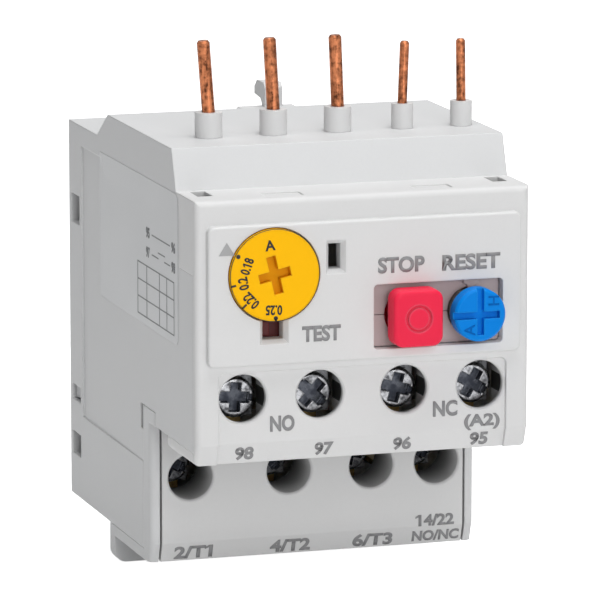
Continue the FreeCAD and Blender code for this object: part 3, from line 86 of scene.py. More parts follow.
# %% Camera
def aimed_camera(name, place, direction, lens):
    data = bpy.data.cameras.new(name)
    data.lens = lens
    data.clip_start = 0.01
    data.clip_end = 20.0
    camera = bpy.data.objects.new(name, data)
    bpy.context.collection.objects.link(camera)
    camera.location = place
    camera.rotation_euler = Vector(direction).to_track_quat("-Z", "Y").to_euler()
    bpy.context.scene.camera = camera


aimed_camera("camera", bench(-220.2, -674.2, 169.5), (0.2945, 0.9382, -0.1819), 337.6)
print("camera in place")

# %% [markdown]
# ## Light and floor
# The relay is lit like a catalogue picture, with four soft area lights: a broad one overhead, one
# straight in front, and two weak ones from the left and from low in front.  The top faces catch
# the most light, the front a little less, and the left side falls into a soft grey.  The room adds
# almost nothing.  The room and the floor are white to the camera and to reflections, and the floor
# still takes the relay's shadow.

# %% Light and floor
def soft_light(name, place, target, size, power):
    data = bpy.data.lights.new(name, "AREA")
    data.shape = "RECTANGLE"
    data.size, data.size_y = size
    data.energy = power
    lamp = bpy.data.objects.new(name, data)
    bpy.context.collection.objects.link(lamp)
    lamp.location = place
    lamp.rotation_euler = (Vector(target) - Vector(place)).to_track_quat("-Z", "Y").to_euler()


middle = bench(0, 25, 28)
soft_light("overhead", (0.05, -0.10, 0.75), middle, (0.7, 0.6), 6.1)
soft_light("front", (0.0, -0.95, 0.25), middle, (0.5, 0.5), 3.6)
soft_light("left", (-0.75, -0.35, 0.15), middle, (0.4, 0.5), 0.2)
soft_light("low_front", (0.1, -0.8, -0.02), middle, (0.6, 0.25), 0.45)


def white_to_camera(tree, surface, output, white):
    """Sends white light to the camera, mirrors and glass, and the plain shader to all else."""
    paths = tree.nodes.new("ShaderNodeLightPath")
    seen = tree.nodes.new("ShaderNodeMath")
    seen.operation = "MAXIMUM"
    also = tree.nodes.new("ShaderNodeMath")
    also.operation = "MAXIMUM"
    tree.links.new(paths.outputs["Is Camera Ray"], seen.inputs[0])
    tree.links.new(paths.outputs["Is Glossy Ray"], seen.inputs[1])
    tree.links.new(seen.outputs[0], also.inputs[0])
    tree.links.new(paths.outputs["Is Transmission Ray"], also.inputs[1])
    mix = tree.nodes.new("ShaderNodeMixShader")
    tree.links.new(also.outputs[0], mix.inputs[0])
    tree.links.new(surface, mix.inputs[1])
    tree.links.new(white, mix.inputs[2])
    tree.links.new(mix.outputs[0], output)


def pale_room(name, strength):
    world = bpy.data.worlds.new(name)
    bpy.context.scene.world = world
    world.use_nodes = True
    tree = world.node_tree
    lit = tree.nodes["Background"]
    lit.inputs["Color"].default_value = (0.94, 0.97, 1.0, 1.0)
    lit.inputs["Strength"].default_value = strength
    seen = tree.nodes.new("ShaderNodeBackground")
    seen.inputs["Color"].default_value = (1.0, 1.0, 1.0, 1.0)
    seen.inputs["Strength"].default_value = 1.0
    white_to_camera(tree, lit.outputs[0], tree.nodes["World Output"].inputs["Surface"],
                    seen.outputs[0])


FLOOR_GLOW = 0.9


def pale_floor(name, height, reach):
    mesh = bpy.data.meshes.new(name)
    shape = bmesh.new()
    bmesh.ops.create_grid(shape, x_segments=1, y_segments=1, size=reach)
    bmesh.ops.translate(shape, verts=shape.verts, vec=(0, 0, height))
    shape.to_mesh(mesh)
    shape.free()
    floor = bpy.data.objects.new(name, mesh)
    bpy.context.collection.objects.link(floor)
    material = bpy.data.materials.new(name)
    material.use_nodes = True
    tree = material.node_tree
    matte = tree.nodes["Principled BSDF"]
    matte.inputs["Base Color"].default_value = (0.9, 0.9, 0.9, 1.0)
    matte.inputs["Roughness"].default_value = 0.9
    glow = tree.nodes.new("ShaderNodeEmission")
    glow.inputs["Strength"].default_value = FLOOR_GLOW
    both = tree.nodes.new("ShaderNodeAddShader")
    tree.links.new(matte.outputs[0], both.inputs[0])
    tree.links.new(glow.outputs[0], both.inputs[1])
    white_to_camera(tree, matte.outputs[0], tree.nodes["Material Output"].inputs["Surface"],
                    both.outputs[0])
    mesh.materials.append(material)


bpy.context.scene.view_settings.view_transform = "Standard"
pale_room("pale_room", 0.05)
pale_floor("floor", cad_box[0][2] - 0.2 * MM, 3.0)

# %% [markdown]
# ## Shared shader groups
# Moulded plastic is never quite even.  Its spark-eroded grain is a few hundredths of a millimetre
# deep, its tone wanders by a percent, and its edges are polished a little glossier and carry a
# painted highlight, a lighter colour along every edge.  One group makes those effects, and every
# plastic uses it with its own numbers.  A second group does the same for metal: fine drawing marks,
# dull patches and the painted edge highlight.  Both can paint shade into a sunk part, darker with
# its depth, and the plastic group paints shade inside the driver holes, where little light gets in.

# %% Shader helpers
def new_group(name, inputs, outputs):
    """A node group with the named inputs and outputs; an input has a kind and a default."""
    group = bpy.data.node_groups.new(name, "ShaderNodeTree")
    kinds = {"float": "NodeSocketFloat", "color": "NodeSocketColor", "vector": "NodeSocketVector"}
    for label, kind, default in inputs:
        socket = group.interface.new_socket(label, in_out="INPUT", socket_type=kinds[kind])
        socket.default_value = default
    for label, kind in outputs:
        group.interface.new_socket(label, in_out="OUTPUT", socket_type=kinds[kind])
    return group, group.nodes.new("NodeGroupInput"), group.nodes.new("NodeGroupOutput")


def noise(tree, vector, scale, detail, roughness=0.5):
    node = tree.nodes.new("ShaderNodeTexNoise")
    tree.links.new(vector, node.inputs["Vector"])
    if isinstance(scale, (int, float)):
        node.inputs["Scale"].default_value = scale
    else:
        tree.links.new(scale, node.inputs["Scale"])
    node.inputs["Detail"].default_value = detail
    node.inputs["Roughness"].default_value = roughness
    return node


def math_node(tree, operation, first, second=None, third=None, clamp=False):
    node = tree.nodes.new("ShaderNodeMath")
    node.operation = operation
    node.use_clamp = clamp
    for index, value in enumerate((first, second, third)):
        if value is None:
            continue
        if isinstance(value, (int, float)):
            node.inputs[index].default_value = value
        else:
            tree.links.new(value, node.inputs[index])
    return node.outputs[0]


def mixed(tree, factor, first, second, blend="MIX"):
    node = tree.nodes.new("ShaderNodeMix")
    node.data_type = "RGBA"
    node.blend_type = blend
    for socket, value in ((node.inputs["Factor"], factor), (node.inputs[6], first),
                          (node.inputs[7], second)):
        if isinstance(value, (int, float, tuple)):
            socket.default_value = value
        else:
            tree.links.new(value, socket)
    return node.outputs[2]


EDGE_GAIN = 2.4


def edge_mask(tree, radius):
    """Rises towards 1 where a rounded normal differs from the flat one: along every edge."""
    rounded = tree.nodes.new("ShaderNodeBevel")
    rounded.samples = 6
    tree.links.new(radius, rounded.inputs["Radius"])
    geometry = tree.nodes.new("ShaderNodeNewGeometry")
    dot = tree.nodes.new("ShaderNodeVectorMath")
    dot.operation = "DOT_PRODUCT"
    tree.links.new(rounded.outputs["Normal"], dot.inputs[0])
    tree.links.new(geometry.outputs["Normal"], dot.inputs[1])
    bent = math_node(tree, "SUBTRACT", 1.0, dot.outputs["Value"])
    return math_node(tree, "MULTIPLY", bent, EDGE_GAIN, clamp=True), rounded.outputs["Normal"]


def split(tree, place):
    """The three coordinates of a point."""
    parts = tree.nodes.new("ShaderNodeSeparateXYZ")
    tree.links.new(place, parts.inputs[0])
    return parts.outputs


def depth_mask(tree, depth, start, run):
    """Rises from 0 at the start to 1 a run further back."""
    return math_node(tree, "DIVIDE", math_node(tree, "SUBTRACT", depth, start), run, clamp=True)


# %% [markdown]
# ## Where the driver holes are
# Both rows of screws sit at the end of round holes, and shade is painted down them.  The holes'
# middles across and up, the depth at which each row's painted shade starts and the run in which it
# gets dark are kept in one table, in bench millimetres.  A mask compares a point with the nearest
# middle, and ends before the back.

# %% Where the driver holes are
DRIVER_HOLES = [
    ([(-16.05, 25.8), (-5.7, 25.8), (5.7, 25.8), (16.05, 25.8)], 0.9, 1.4),
    ([(-16.94, 11.74), (-3.37, 11.74), (8.09, 11.74), (17.2, 11.74)], 21.7, 8.5)]
HOLE_REACH = 3.6
HOLE_END = 55.0


def hole_shade_mask(tree, place):
    """Rises towards 1 down each driver hole, where shade is painted in."""
    across, back, up = split(tree, place)
    total = None
    for middles, start, run in DRIVER_HOLES:
        nearest = None
        for x, z in middles:
            middle_of_hole = bench(x, start, z)
            aside = math_node(tree, "SUBTRACT", across, middle_of_hole.x)
            above = math_node(tree, "SUBTRACT", up, middle_of_hole.z)
            square = math_node(tree, "MULTIPLY_ADD", above, above,
                               math_node(tree, "MULTIPLY", aside, aside))
            nearest = square if nearest is None else math_node(tree, "MINIMUM", nearest, square)
        inside = math_node(tree, "LESS_THAN", nearest, (HOLE_REACH * MM) ** 2)
        sunk = depth_mask(tree, back, bench(0, start, 0).y, run * MM)
        both = math_node(tree, "MULTIPLY", inside, sunk)
        total = both if total is None else math_node(tree, "MAXIMUM", total, both)
    before_end = math_node(tree, "LESS_THAN", back, bench(0, HOLE_END, 0).y)
    return math_node(tree, "MULTIPLY", total, before_end)


# %% The moulded plastic group
CLOUD_SCALE, FLECK_SCALE = 95.0, 2600.0
TONE_SWAY, FLECK_SWAY, SHEEN_SWAY, EDGE_POLISH = 0.05, 0.03, 0.10, 0.08
RECESS_RUN = 0.6 * MM
# The colour of the painted shade inside the driver holes, where little light gets in.
HOLE_SHADE = (0.012, 0.012, 0.013, 1.0)


def moulded_group():
    # The edge colour paints a highlight along every edge; the recess colour and the hole darkness
    # paint shade.
    group, source, result = new_group("moulded_plastic", [
        ("Color", "color", (0.7, 0.7, 0.7, 1.0)), ("Highlight Color", "color", (0.9, 0.9, 0.9, 1.0)),
        ("Edge Radius", "float", 0.0003), ("Highlight Strength", "float", 0.5),
        ("Roughness", "float", 0.45), ("Grain Scale", "float", 5200.0),
        ("Grain Depth", "float", 0.15), ("Painted Hole Shade", "float", 0.0),
        ("Recess Start", "float", 1.0), ("Recess Shade Color", "color", (0.5, 0.5, 0.5, 1.0))], [
        ("Color", "color"), ("Roughness", "float"), ("Normal", "vector")])
    place = group.nodes.new("ShaderNodeTexCoord").outputs["Object"]
    mask, rounded = edge_mask(group, source.outputs["Edge Radius"])
    cloud = noise(group, place, CLOUD_SCALE, 3.0).outputs["Fac"]
    fleck = noise(group, place, FLECK_SCALE, 2.0).outputs["Fac"]
    tone = math_node(group, "MULTIPLY_ADD", cloud, TONE_SWAY, 1.0 - TONE_SWAY / 2)
    speck = math_node(group, "MULTIPLY_ADD", fleck, FLECK_SWAY, -FLECK_SWAY / 2)
    tone = math_node(group, "ADD", tone, speck)
    grey = group.nodes.new("ShaderNodeCombineColor")
    for channel in ("Red", "Green", "Blue"):
        group.links.new(tone, grey.inputs[channel])
    base = mixed(group, 1.0, source.outputs["Color"], grey.outputs[0], "MULTIPLY")
    # Painted highlight: a lighter colour mixed in along every edge.
    edge = math_node(group, "MULTIPLY", mask, source.outputs["Highlight Strength"])
    lit = mixed(group, edge, base, source.outputs["Highlight Color"])
    # Painted shade: behind the recess start the colour runs to the recess colour, darker with
    # depth.
    sunk = depth_mask(group, split(group, place)["Y"], source.outputs["Recess Start"], RECESS_RUN)
    lit = mixed(group, sunk, lit, source.outputs["Recess Shade Color"])
    # Painted shade down the driver holes.
    deep = math_node(group, "MULTIPLY", hole_shade_mask(group, place), source.outputs["Painted Hole Shade"])
    group.links.new(mixed(group, deep, lit, HOLE_SHADE), result.inputs["Color"])
    sheen = math_node(group, "MULTIPLY_ADD", cloud, SHEEN_SWAY, -SHEEN_SWAY / 2)
    rough = math_node(group, "ADD", source.outputs["Roughness"], sheen)
    polish = math_node(group, "MULTIPLY", mask, EDGE_POLISH)
    rough = math_node(group, "SUBTRACT", rough, polish)
    group.links.new(rough, result.inputs["Roughness"])
    grain = noise(group, place, source.outputs["Grain Scale"], 4.0, 0.6).outputs["Fac"]
    bump = group.nodes.new("ShaderNodeBump")
    bump.inputs["Distance"].default_value = 0.03 * MM
    group.links.new(source.outputs["Grain Depth"], bump.inputs["Strength"])
    group.links.new(grain, bump.inputs["Height"])
    group.links.new(rounded, bump.inputs["Normal"])
    group.links.new(bump.outputs["Normal"], result.inputs["Normal"])
    return group


MOULDED = moulded_group()
print("group:", MOULDED.name, "sockets:", len(MOULDED.interface.items_tree))


# %% The worked metal group
PATCH_GAIN, PATCH_OFFSET, DULL_ROUGHNESS = 5.0, -0.85, 0.3
# The colour of the painted shade in screw slots, and the share and run of it.
SLOT_SHADE = (0.03, 0.034, 0.045, 1.0)
SLOT_SHARE = 0.9
SLOT_RUN = 0.5 * MM


def metal_group():
    # The edge colour paints a highlight along the edges; the recess start paints shade into slots.
    group, source, result = new_group("worked_metal", [
        ("Color", "color", (0.6, 0.6, 0.6, 1.0)), ("Dull Color", "color", (0.2, 0.2, 0.2, 1.0)),
        ("Dullness", "float", 0.5), ("Patch Scale", "float", 900.0),
        ("Line Scale", "vector", (1.0, 1.0, 1.0)), ("Roughness", "float", 0.3),
        ("Relief", "float", 0.2), ("Edge Radius", "float", 0.0001),
        ("Highlight Color", "color", (0.9, 0.9, 0.9, 1.0)), ("Highlight Strength", "float", 0.0),
        ("Recess Start", "float", 1.0)], [
        ("Color", "color"), ("Roughness", "float"), ("Normal", "vector")])
    place = group.nodes.new("ShaderNodeTexCoord").outputs["Object"]
    stretched = group.nodes.new("ShaderNodeVectorMath")
    stretched.operation = "MULTIPLY"
    group.links.new(place, stretched.inputs[0])
    group.links.new(source.outputs["Line Scale"], stretched.inputs[1])
    lines = noise(group, stretched.outputs[0], source.outputs["Patch Scale"], 4.0, 0.65)
    patches = noise(group, place, source.outputs["Patch Scale"], 3.0)
    both = math_node(group, "MULTIPLY", lines.outputs["Fac"], patches.outputs["Fac"])
    contrast = math_node(group, "MULTIPLY_ADD", both, PATCH_GAIN, PATCH_OFFSET, clamp=True)
    dull = math_node(group, "MULTIPLY", contrast, source.outputs["Dullness"], clamp=True)
    mask, rounded = edge_mask(group, source.outputs["Edge Radius"])
    worn_and_highlit = mixed(group, dull, source.outputs["Color"], source.outputs["Dull Color"])
    # Painted highlight: a lighter colour along the metal's edges.
    rim_highlight = math_node(group, "MULTIPLY", mask, source.outputs["Highlight Strength"])
    worn_and_highlit = mixed(group, rim_highlight, worn_and_highlit, source.outputs["Highlight Color"])
    # Painted shade: slots behind the recess start run dark.
    sunk = depth_mask(group, split(group, place)["Y"], source.outputs["Recess Start"], SLOT_RUN)
    shaded = math_node(group, "MULTIPLY", sunk, SLOT_SHARE)
    group.links.new(mixed(group, shaded, worn_and_highlit, SLOT_SHADE), result.inputs["Color"])
    rough = math_node(group, "MULTIPLY_ADD", dull, DULL_ROUGHNESS, source.outputs["Roughness"])
    group.links.new(rough, result.inputs["Roughness"])
    bump = group.nodes.new("ShaderNodeBump")
    bump.inputs["Distance"].default_value = 0.04 * MM
    group.links.new(source.outputs["Relief"], bump.inputs["Strength"])
    group.links.new(lines.outputs["Fac"], bump.inputs["Height"])
    group.links.new(rounded, bump.inputs["Normal"])
    group.links.new(bump.outputs["Normal"], result.inputs["Normal"])
    return group


METAL = metal_group()
print("group:", METAL.name, "sockets:", len(METAL.interface.items_tree))

# %% [markdown]
# ## Finishes
# Each finish is a Principled shader fed by one of the two groups.  The housing is an off-white
# grey polyamide with a satin grain; the stop button has a deeper grain; the pins are drawn copper
# with dark oxide streaks; and the terminal screws are zinc plated steel with a painted highlight on
# their edges and painted shade in their slots.  The screws at the back of the lower holes are a
# darker copy of the same zinc: painted shade.  A recess starts just behind the faces of the screw
# heads and of the dial, so that painted shade darkens their crosses.  The usual start, 1 m, is
# behind everything and darkens nothing.

# %% Finishes
def with_group(name, group, values, metallic=0.0, specular=0.5):
    material = bpy.data.materials.new(name)
    material.use_nodes = True
    tree = material.node_tree
    shader = tree.nodes["Principled BSDF"]
    shader.inputs["Metallic"].default_value = metallic
    shader.inputs["Specular IOR Level"].default_value = specular
    effect = tree.nodes.new("ShaderNodeGroup")
    effect.node_tree = group
    for label, value in values.items():
        effect.inputs[label].default_value = value
    tree.links.new(effect.outputs["Color"], shader.inputs["Base Color"])
    tree.links.new(effect.outputs["Roughness"], shader.inputs["Roughness"])
    tree.links.new(effect.outputs["Normal"], shader.inputs["Normal"])
    return material


# Plastic finish: the edge colour and its strength paint a highlight along every edge; the recess
# and hole settings paint shade.
def plastic(name, color, edge, roughness, edge_highlight=0.45, radius=0.00028, grain=0.15,
            specular=0.25, hole=0.0, recess=1.0, recess_shade_color=(0.5, 0.5, 0.5)):
    return with_group(name, MOULDED, {
        "Color": (*color, 1.0), "Highlight Color": (*edge, 1.0), "Roughness": roughness,
        "Highlight Strength": edge_highlight, "Edge Radius": radius, "Grain Depth": grain,
        "Painted Hole Shade": hole, "Recess Start": recess, "Recess Shade Color": (*recess_shade_color, 1.0)},
        specular=specular)


# Metal finish: the edge share paints a highlight along the edges, and the recess start paints shade
# into slots.
def metal(name, color, dull_color, dullness, roughness, scale=900.0, lines=(1.0, 1.0, 1.0),
          relief=0.2, radius=0.0001, rim_highlight=0.0, recess=1.0):
    return with_group(name, METAL, {
        "Color": (*color, 1.0), "Dull Color": (*dull_color, 1.0), "Dullness": dullness,
        "Roughness": roughness, "Patch Scale": scale, "Line Scale": lines, "Relief": relief,
        "Edge Radius": radius, "Highlight Strength": rim_highlight, "Recess Start": recess}, metallic=1.0)


def flat_ink(name, color, specular=0.25, roughness=0.6):
    return plastic(name, color, color, roughness, edge_highlight=0.0, radius=0.02 * MM,
                   specular=specular)


# Depths at which painted shade starts in the screw slots and in the dial's cross.
HEAD_FRONT, HEAD_REAR, SLOT_START, DIAL_START = 3.9, 30.9, 0.35, -1.2
SCREW = {"scale": 1100.0, "relief": 0.35, "radius": 0.00022, "rim_highlight": 0.9}
FINISHES = {
    "housing": plastic("housing_grey", (0.66, 0.665, 0.67), (0.93, 0.93, 0.93), 0.5,
                       edge_highlight=0.7, hole=0.95),
    "cover": plastic("cover_grey", (0.69, 0.69, 0.69), (0.97, 0.97, 0.97), 0.48,
                     edge_highlight=0.8, hole=0.97),
    "panel": plastic("panel_grey", (0.67, 0.67, 0.67), (0.95, 0.95, 0.95), 0.48,
                     edge_highlight=0.8, hole=0.95),
    # Painted shade: the guides sit in the recess behind the buttons, and their darker grey is the
    # shade of that recess.
    "guide": plastic("guide_shaded_grey", (0.46, 0.385, 0.385), (0.7, 0.7, 0.7), 0.5),
    "sleeve": plastic("sleeve_white", (0.70, 0.70, 0.70), (0.95, 0.95, 0.95), 0.4),
    "dial": plastic("dial_yellow", (1.0, 0.52, 0.002), (1.0, 0.66, 0.05), 0.5,
                    edge_highlight=0.6, radius=0.0003, specular=0.08,
                    recess=bench(0, DIAL_START, 0).y, recess_shade_color=(0.74, 0.31, 0.001)),
    "stop": plastic("stop_red", (0.83, 0.014, 0.06), (1.0, 0.2, 0.3), 0.42,
                    edge_highlight=0.8, radius=0.0005, grain=0.5, specular=0.2),
    "reset": plastic("reset_blue", (0.0, 0.215, 0.72), (0.03, 0.42, 0.98), 0.42,
                     edge_highlight=0.8, radius=0.0003, specular=0.08),
    "inner": plastic("inner_ivory", (0.62, 0.60, 0.54), (0.8, 0.8, 0.75), 0.5),
    "slider": plastic("slider_red", (0.07, 0.006, 0.006), (0.3, 0.04, 0.04), 0.45),
    "copper": metal("pin_copper", (0.42, 0.15, 0.068), (0.045, 0.015, 0.008), 0.9, 0.32,
                    scale=1700.0, lines=(1.0, 1.0, 0.10), relief=0.35),
    "brass": metal("brass_strip", (0.72, 0.52, 0.22), (0.3, 0.2, 0.08), 0.4, 0.3),
    "zinc": metal("zinc_plate", (0.40, 0.41, 0.43), (0.05, 0.05, 0.055), 0.85, 0.3,
                  scale=1400.0, relief=0.5, radius=0.00012),
    "screw_front": metal("zinc_screw_front", (0.34, 0.345, 0.36), (0.05, 0.05, 0.055), 0.9,
                         0.24, recess=bench(0, HEAD_FRONT + SLOT_START, 0).y, **SCREW),
    # Painted shade: a darker copy of the same zinc for the screws deep in the lower holes.
    "screw_in_shade": metal("zinc_screw_in_shade", (0.20, 0.205, 0.215), (0.03, 0.03, 0.035), 0.9,
                        0.24, recess=bench(0, HEAD_REAR + SLOT_START, 0).y, **SCREW),
    "steel": metal("spring_steel", (0.6, 0.6, 0.62), (0.3, 0.3, 0.3), 0.3, 0.25),
    "bimetal": metal("bimetal_strip", (0.52, 0.49, 0.44), (0.25, 0.2, 0.15), 0.5, 0.35),
    "silver": metal("contact_silver", (0.8, 0.8, 0.78), (0.4, 0.4, 0.38), 0.3, 0.2),
}


FINISH_BY_START = {
    "main_housing": "housing", "rear_cover": "housing", "lower_frame": "housing",
    "lower_panel": "panel", "front_cover": "cover", "suspension": "cover",
    "lower_button": "guide", "upper_button": "guide",
    "load_pin_sleeves": "sleeve", "aux_pin_sleeves": "sleeve",
    "setting_dial": "dial", "stop_button": "stop", "reset_knob": "reset",
    "trip_slider": "slider", "load_pin": "copper", "aux_pin": "copper", "coil_pin": "copper",
    "screw_9": "screw_front", "screw_t": "screw_in_shade", "screw_no": "screw_in_shade",
    "clamp": "zinc", "terminal": "brass", "load_terminal": "brass", "through_link": "brass",
    "coil_link": "brass", "heater_leads": "brass", "heater_windings": "bimetal",
    "bimetal": "bimetal", "moving_contacts": "silver",
    "stop_spring": "steel", "reset_spring": "steel"}


def finish_of(node):
    """The finish of a CAD node, found from the longest start of a name that fits it."""
    found = [start for start in FINISH_BY_START if node.startswith(start)]
    return FINISH_BY_START[max(found, key=len)] if found else "inner"


for name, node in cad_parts.items():
    node.data.materials.clear()
    node.data.materials.append(FINISHES[finish_of(name)])
print("finishes:", len(FINISHES))

# %% [markdown]
# ## Flat printed shapes
# Letters, dots, bars, rings and the pointer are flat shapes with the thickness of ink.  Each
# starts in a level plane, gets its thickness towards the reader, and is then stood up, turned and
# put in its place.  On the front of the relay it lies a fiftieth of a millimetre off its face.

# %% Flat shape helpers
INK_THICKNESS = 0.03 * MM
INK_GAP = 0.02


def turned_face(lean=0.0):
    """The rotation that stands flat text up, facing forwards, and leans its foot backwards."""
    return Matrix.Rotation(math.radians(90.0 + lean), 4, "X")


def extent(shape):
    """The low and the high corner of a flat shape."""
    return [[limit(vertex.co[axis] for vertex in shape.verts) for axis in range(2)]
            for limit in (min, max)]


def centred(shape, low, high, wide, tall):
    """Moves the middle of an extent to the origin and stretches the shape by two factors."""
    bmesh.ops.translate(shape, verts=shape.verts,
                        vec=(-(low[0] + high[0]) / 2, -(low[1] + high[1]) / 2, 0))
    bmesh.ops.scale(shape, verts=shape.verts, vec=(wide, tall, 1.0))


def printed(name, shape, middle, rotation, body, material, thickness=INK_THICKNESS):
    """Gives a flat bmesh its thickness and its place, and makes a piece of it."""
    faces = bmesh.ops.extrude_face_region(shape, geom=shape.faces[:])
    raised = [part for part in faces["geom"] if isinstance(part, bmesh.types.BMVert)]
    bmesh.ops.translate(shape, verts=raised, vec=(0, 0, thickness))
    bmesh.ops.recalc_face_normals(shape, faces=shape.faces)
    bmesh.ops.transform(shape, verts=shape.verts,
                        matrix=Matrix.Translation(middle) @ rotation)
    mesh = bpy.data.meshes.new(name)
    shape.to_mesh(mesh)
    shape.free()
    mesh.materials.append(material)
    piece = bpy.data.objects.new(name, mesh)
    bpy.context.collection.objects.link(piece)
    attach(piece, body)
    return piece


def flat_circle(radius, segments=24):
    shape = bmesh.new()
    bmesh.ops.create_circle(shape, cap_ends=True, segments=segments, radius=radius)
    return shape


def flat_bar(width, tall):
    shape = bmesh.new()
    bmesh.ops.create_grid(shape, x_segments=1, y_segments=1, size=0.5)
    bmesh.ops.scale(shape, verts=shape.verts, vec=(width, tall, 1.0))
    return shape


def flat_ring(radius, line, segments=72):
    shape = flat_circle(radius, segments)
    middle_face = shape.faces[:]
    bmesh.ops.inset_region(shape, faces=middle_face, thickness=line, use_boundary=True,
                           use_even_offset=True)
    bmesh.ops.delete(shape, geom=middle_face, context="FACES")
    return shape


# %% [markdown]
# ## Function markings
# The markings are printed in grey.  Each is a text curve turned into a mesh, thin enough to read
# as ink.  A marking stands upright on a vertical face, or leans with the tilted bands that carry
# the terminal numbers, so a helper takes the text, its middle, its height and its rotation.

# %% Lettering helper
FLAG = ((0.0, 0.0), (-0.24, -0.17), (-0.24, -0.33), (0.0, -0.20))
ONE_WIDEST, ONE_LOWEST, ONE_TALLEST = 0.3, 0.9, 1.04
FONT_WELD = 0.0001


def flag_ones(shape, cap):
    """Gives each figure one, which the plain font draws as a bar, its slanting flag."""
    seen = set()
    for start in list(shape.verts):
        if start in seen:
            continue
        island, edge = {start}, [start]
        while edge:
            near = {e.other_vert(v) for v in edge for e in v.link_edges} - island
            island |= near
            edge = list(near)
        seen |= island
        low_x, high_x = min(v.co.x for v in island), max(v.co.x for v in island)
        low_y, high_y = min(v.co.y for v in island), max(v.co.y for v in island)
        narrow = high_x - low_x <= ONE_WIDEST * cap
        if narrow and ONE_LOWEST * cap < high_y - low_y < ONE_TALLEST * cap:
            shape.faces.new([shape.verts.new((low_x + x * cap, high_y + y * cap, 0.0))
                             for x, y in FLAG])


def lettering(name, text, middle, height, rotation, body, material, width=None, bold=0.04):
    """Printed text whose middle, capital height and, where given, width are set in metres."""
    curve = bpy.data.curves.new(name, "FONT")
    curve.body = text
    curve.align_x = "CENTER"
    curve.offset = bold
    curve.resolution_u = 4
    holder = bpy.data.objects.new(name, curve)
    bpy.context.collection.objects.link(holder)
    bpy.context.view_layer.update()
    outline = bpy.data.meshes.new_from_object(holder)
    bpy.data.objects.remove(holder)
    shape = bmesh.new()
    shape.from_mesh(outline)
    bpy.data.meshes.remove(outline)
    low, high = extent(shape)
    bmesh.ops.remove_doubles(shape, verts=shape.verts, dist=FONT_WELD)
    if "1" in text:
        flag_ones(shape, high[1] - low[1])
    tall = height / (high[1] - low[1])
    wide = width / (high[0] - low[0]) if width else tall
    centred(shape, low, high, wide, tall)
    return printed(name, shape, middle, rotation, body, material)


FINISHES["ink"] = flat_ink("marking_ink", (0.27, 0.27, 0.275))
FINISHES["black_print_and_gap_shadow"] = flat_ink("black_print_and_gap_shadow", (0.02, 0.02, 0.02), roughness=0.5)

# %% Markings on the cover and the lower panel
PLATE, FIELD, LOWER = -1.0, 0.5, 21.3
CAP = 2.1
UPRIGHT = [
    ("STOP", 4.72, 42.85, 6.3, CAP, PLATE), ("RESET", 14.2, 42.75, 7.9, CAP, PLATE),
    ("TEST", -6.02, 34.5, 5.2, CAP, PLATE), ("NO", -10.8, 22.75, 3.3, CAP, FIELD),
    ("NC", 11.25, 23.35, 3.35, CAP, FIELD), ("(A2)", 16.3, 21.3, 4.9, CAP, FIELD),
    ("14/22", 17.2, 3.75, 5.0, 1.6, LOWER)]
for text, x, z, width, height, face in UPRIGHT:
    name = "marking_" + "".join(c if c.isalnum() else "_" for c in text)
    lettering(name, text, bench(x, face - INK_GAP, z), height * MM, turned_face(),
              "housing", FINISHES["ink"], width=width * MM)

COVER_BAND = {"face": FIELD, "top": 20.4, "line": 19.0,
              "lean": math.degrees(math.atan2(1.0, 2.7))}
LOWER_BAND = {"face": LOWER, "top": 3.0, "line": 1.55,
              "lean": math.degrees(math.atan2(0.9, 2.6))}
ON_BANDS = [
    ("98", -15.75, 2.5, 1.95, COVER_BAND), ("97", -5.07, 2.5, 1.95, COVER_BAND),
    ("96", 5.57, 2.5, 1.95, COVER_BAND), ("95", 16.03, 2.5, 1.95, COVER_BAND),
    ("2/T1", -16.5, 5.3, 1.9, LOWER_BAND), ("4/T2", -3.1, 5.6, 1.9, LOWER_BAND),
    ("6/T3", 8.4, 5.6, 1.9, LOWER_BAND), ("NO/NC", 17.25, 6.6, 1.6, LOWER_BAND)]
for text, x, width, height, band in ON_BANDS:
    slope = math.tan(math.radians(band["lean"]))
    back = band["face"] + (band["top"] - band["line"]) * slope - INK_GAP
    lettering("marking_" + text.replace("/", "_"), text, bench(x, back, band["line"]),
              height * MM, turned_face(band["lean"]), "housing", FINISHES["ink"],
              width=width * MM)
print("markings:", len(UPRIGHT) + len(ON_BANDS))

# %% [markdown]
# ## Dial scale
# The scale is printed on the dial, so it rides on the dial's body and turns with it.  The numbers
# stand with their tops towards the rim and follow it round.  A dot marks each end of the scale and
# a short bar each value between.  A thin black ring round the rim is painted shadow: it stands for
# the shade in the gap between the dial and its seat, and turns with the dial.  On the plate beside
# the dial a small grey triangle points at the value that is set.

# %% Dial scale
DIAL = bench(-12.3, -1.3, 42.4)
DIAL_RADIUS = 6.0
FIGURE_TALL, LETTER_TALL = 1.3, 1.35
DOT_RADIUS, DOT_PLACE, BAR_WIDTH, GAP_SHADOW_LINE = 0.28, 5.55, 0.26, 0.09


def on_dial(angle, radius):
    """A point on the dial's face, at an angle measured anticlockwise from the right."""
    turn = math.radians(angle)
    aside = Vector((math.cos(turn), 0.0, math.sin(turn))) * radius * MM
    return DIAL + aside - Vector((0.0, INK_GAP * MM, 0.0))


def tops_outward(angle):
    """The rotation of a figure on the dial whose top points outwards at an angle."""
    return Matrix.Rotation(math.radians(90.0 - angle), 4, "Y") @ turned_face()


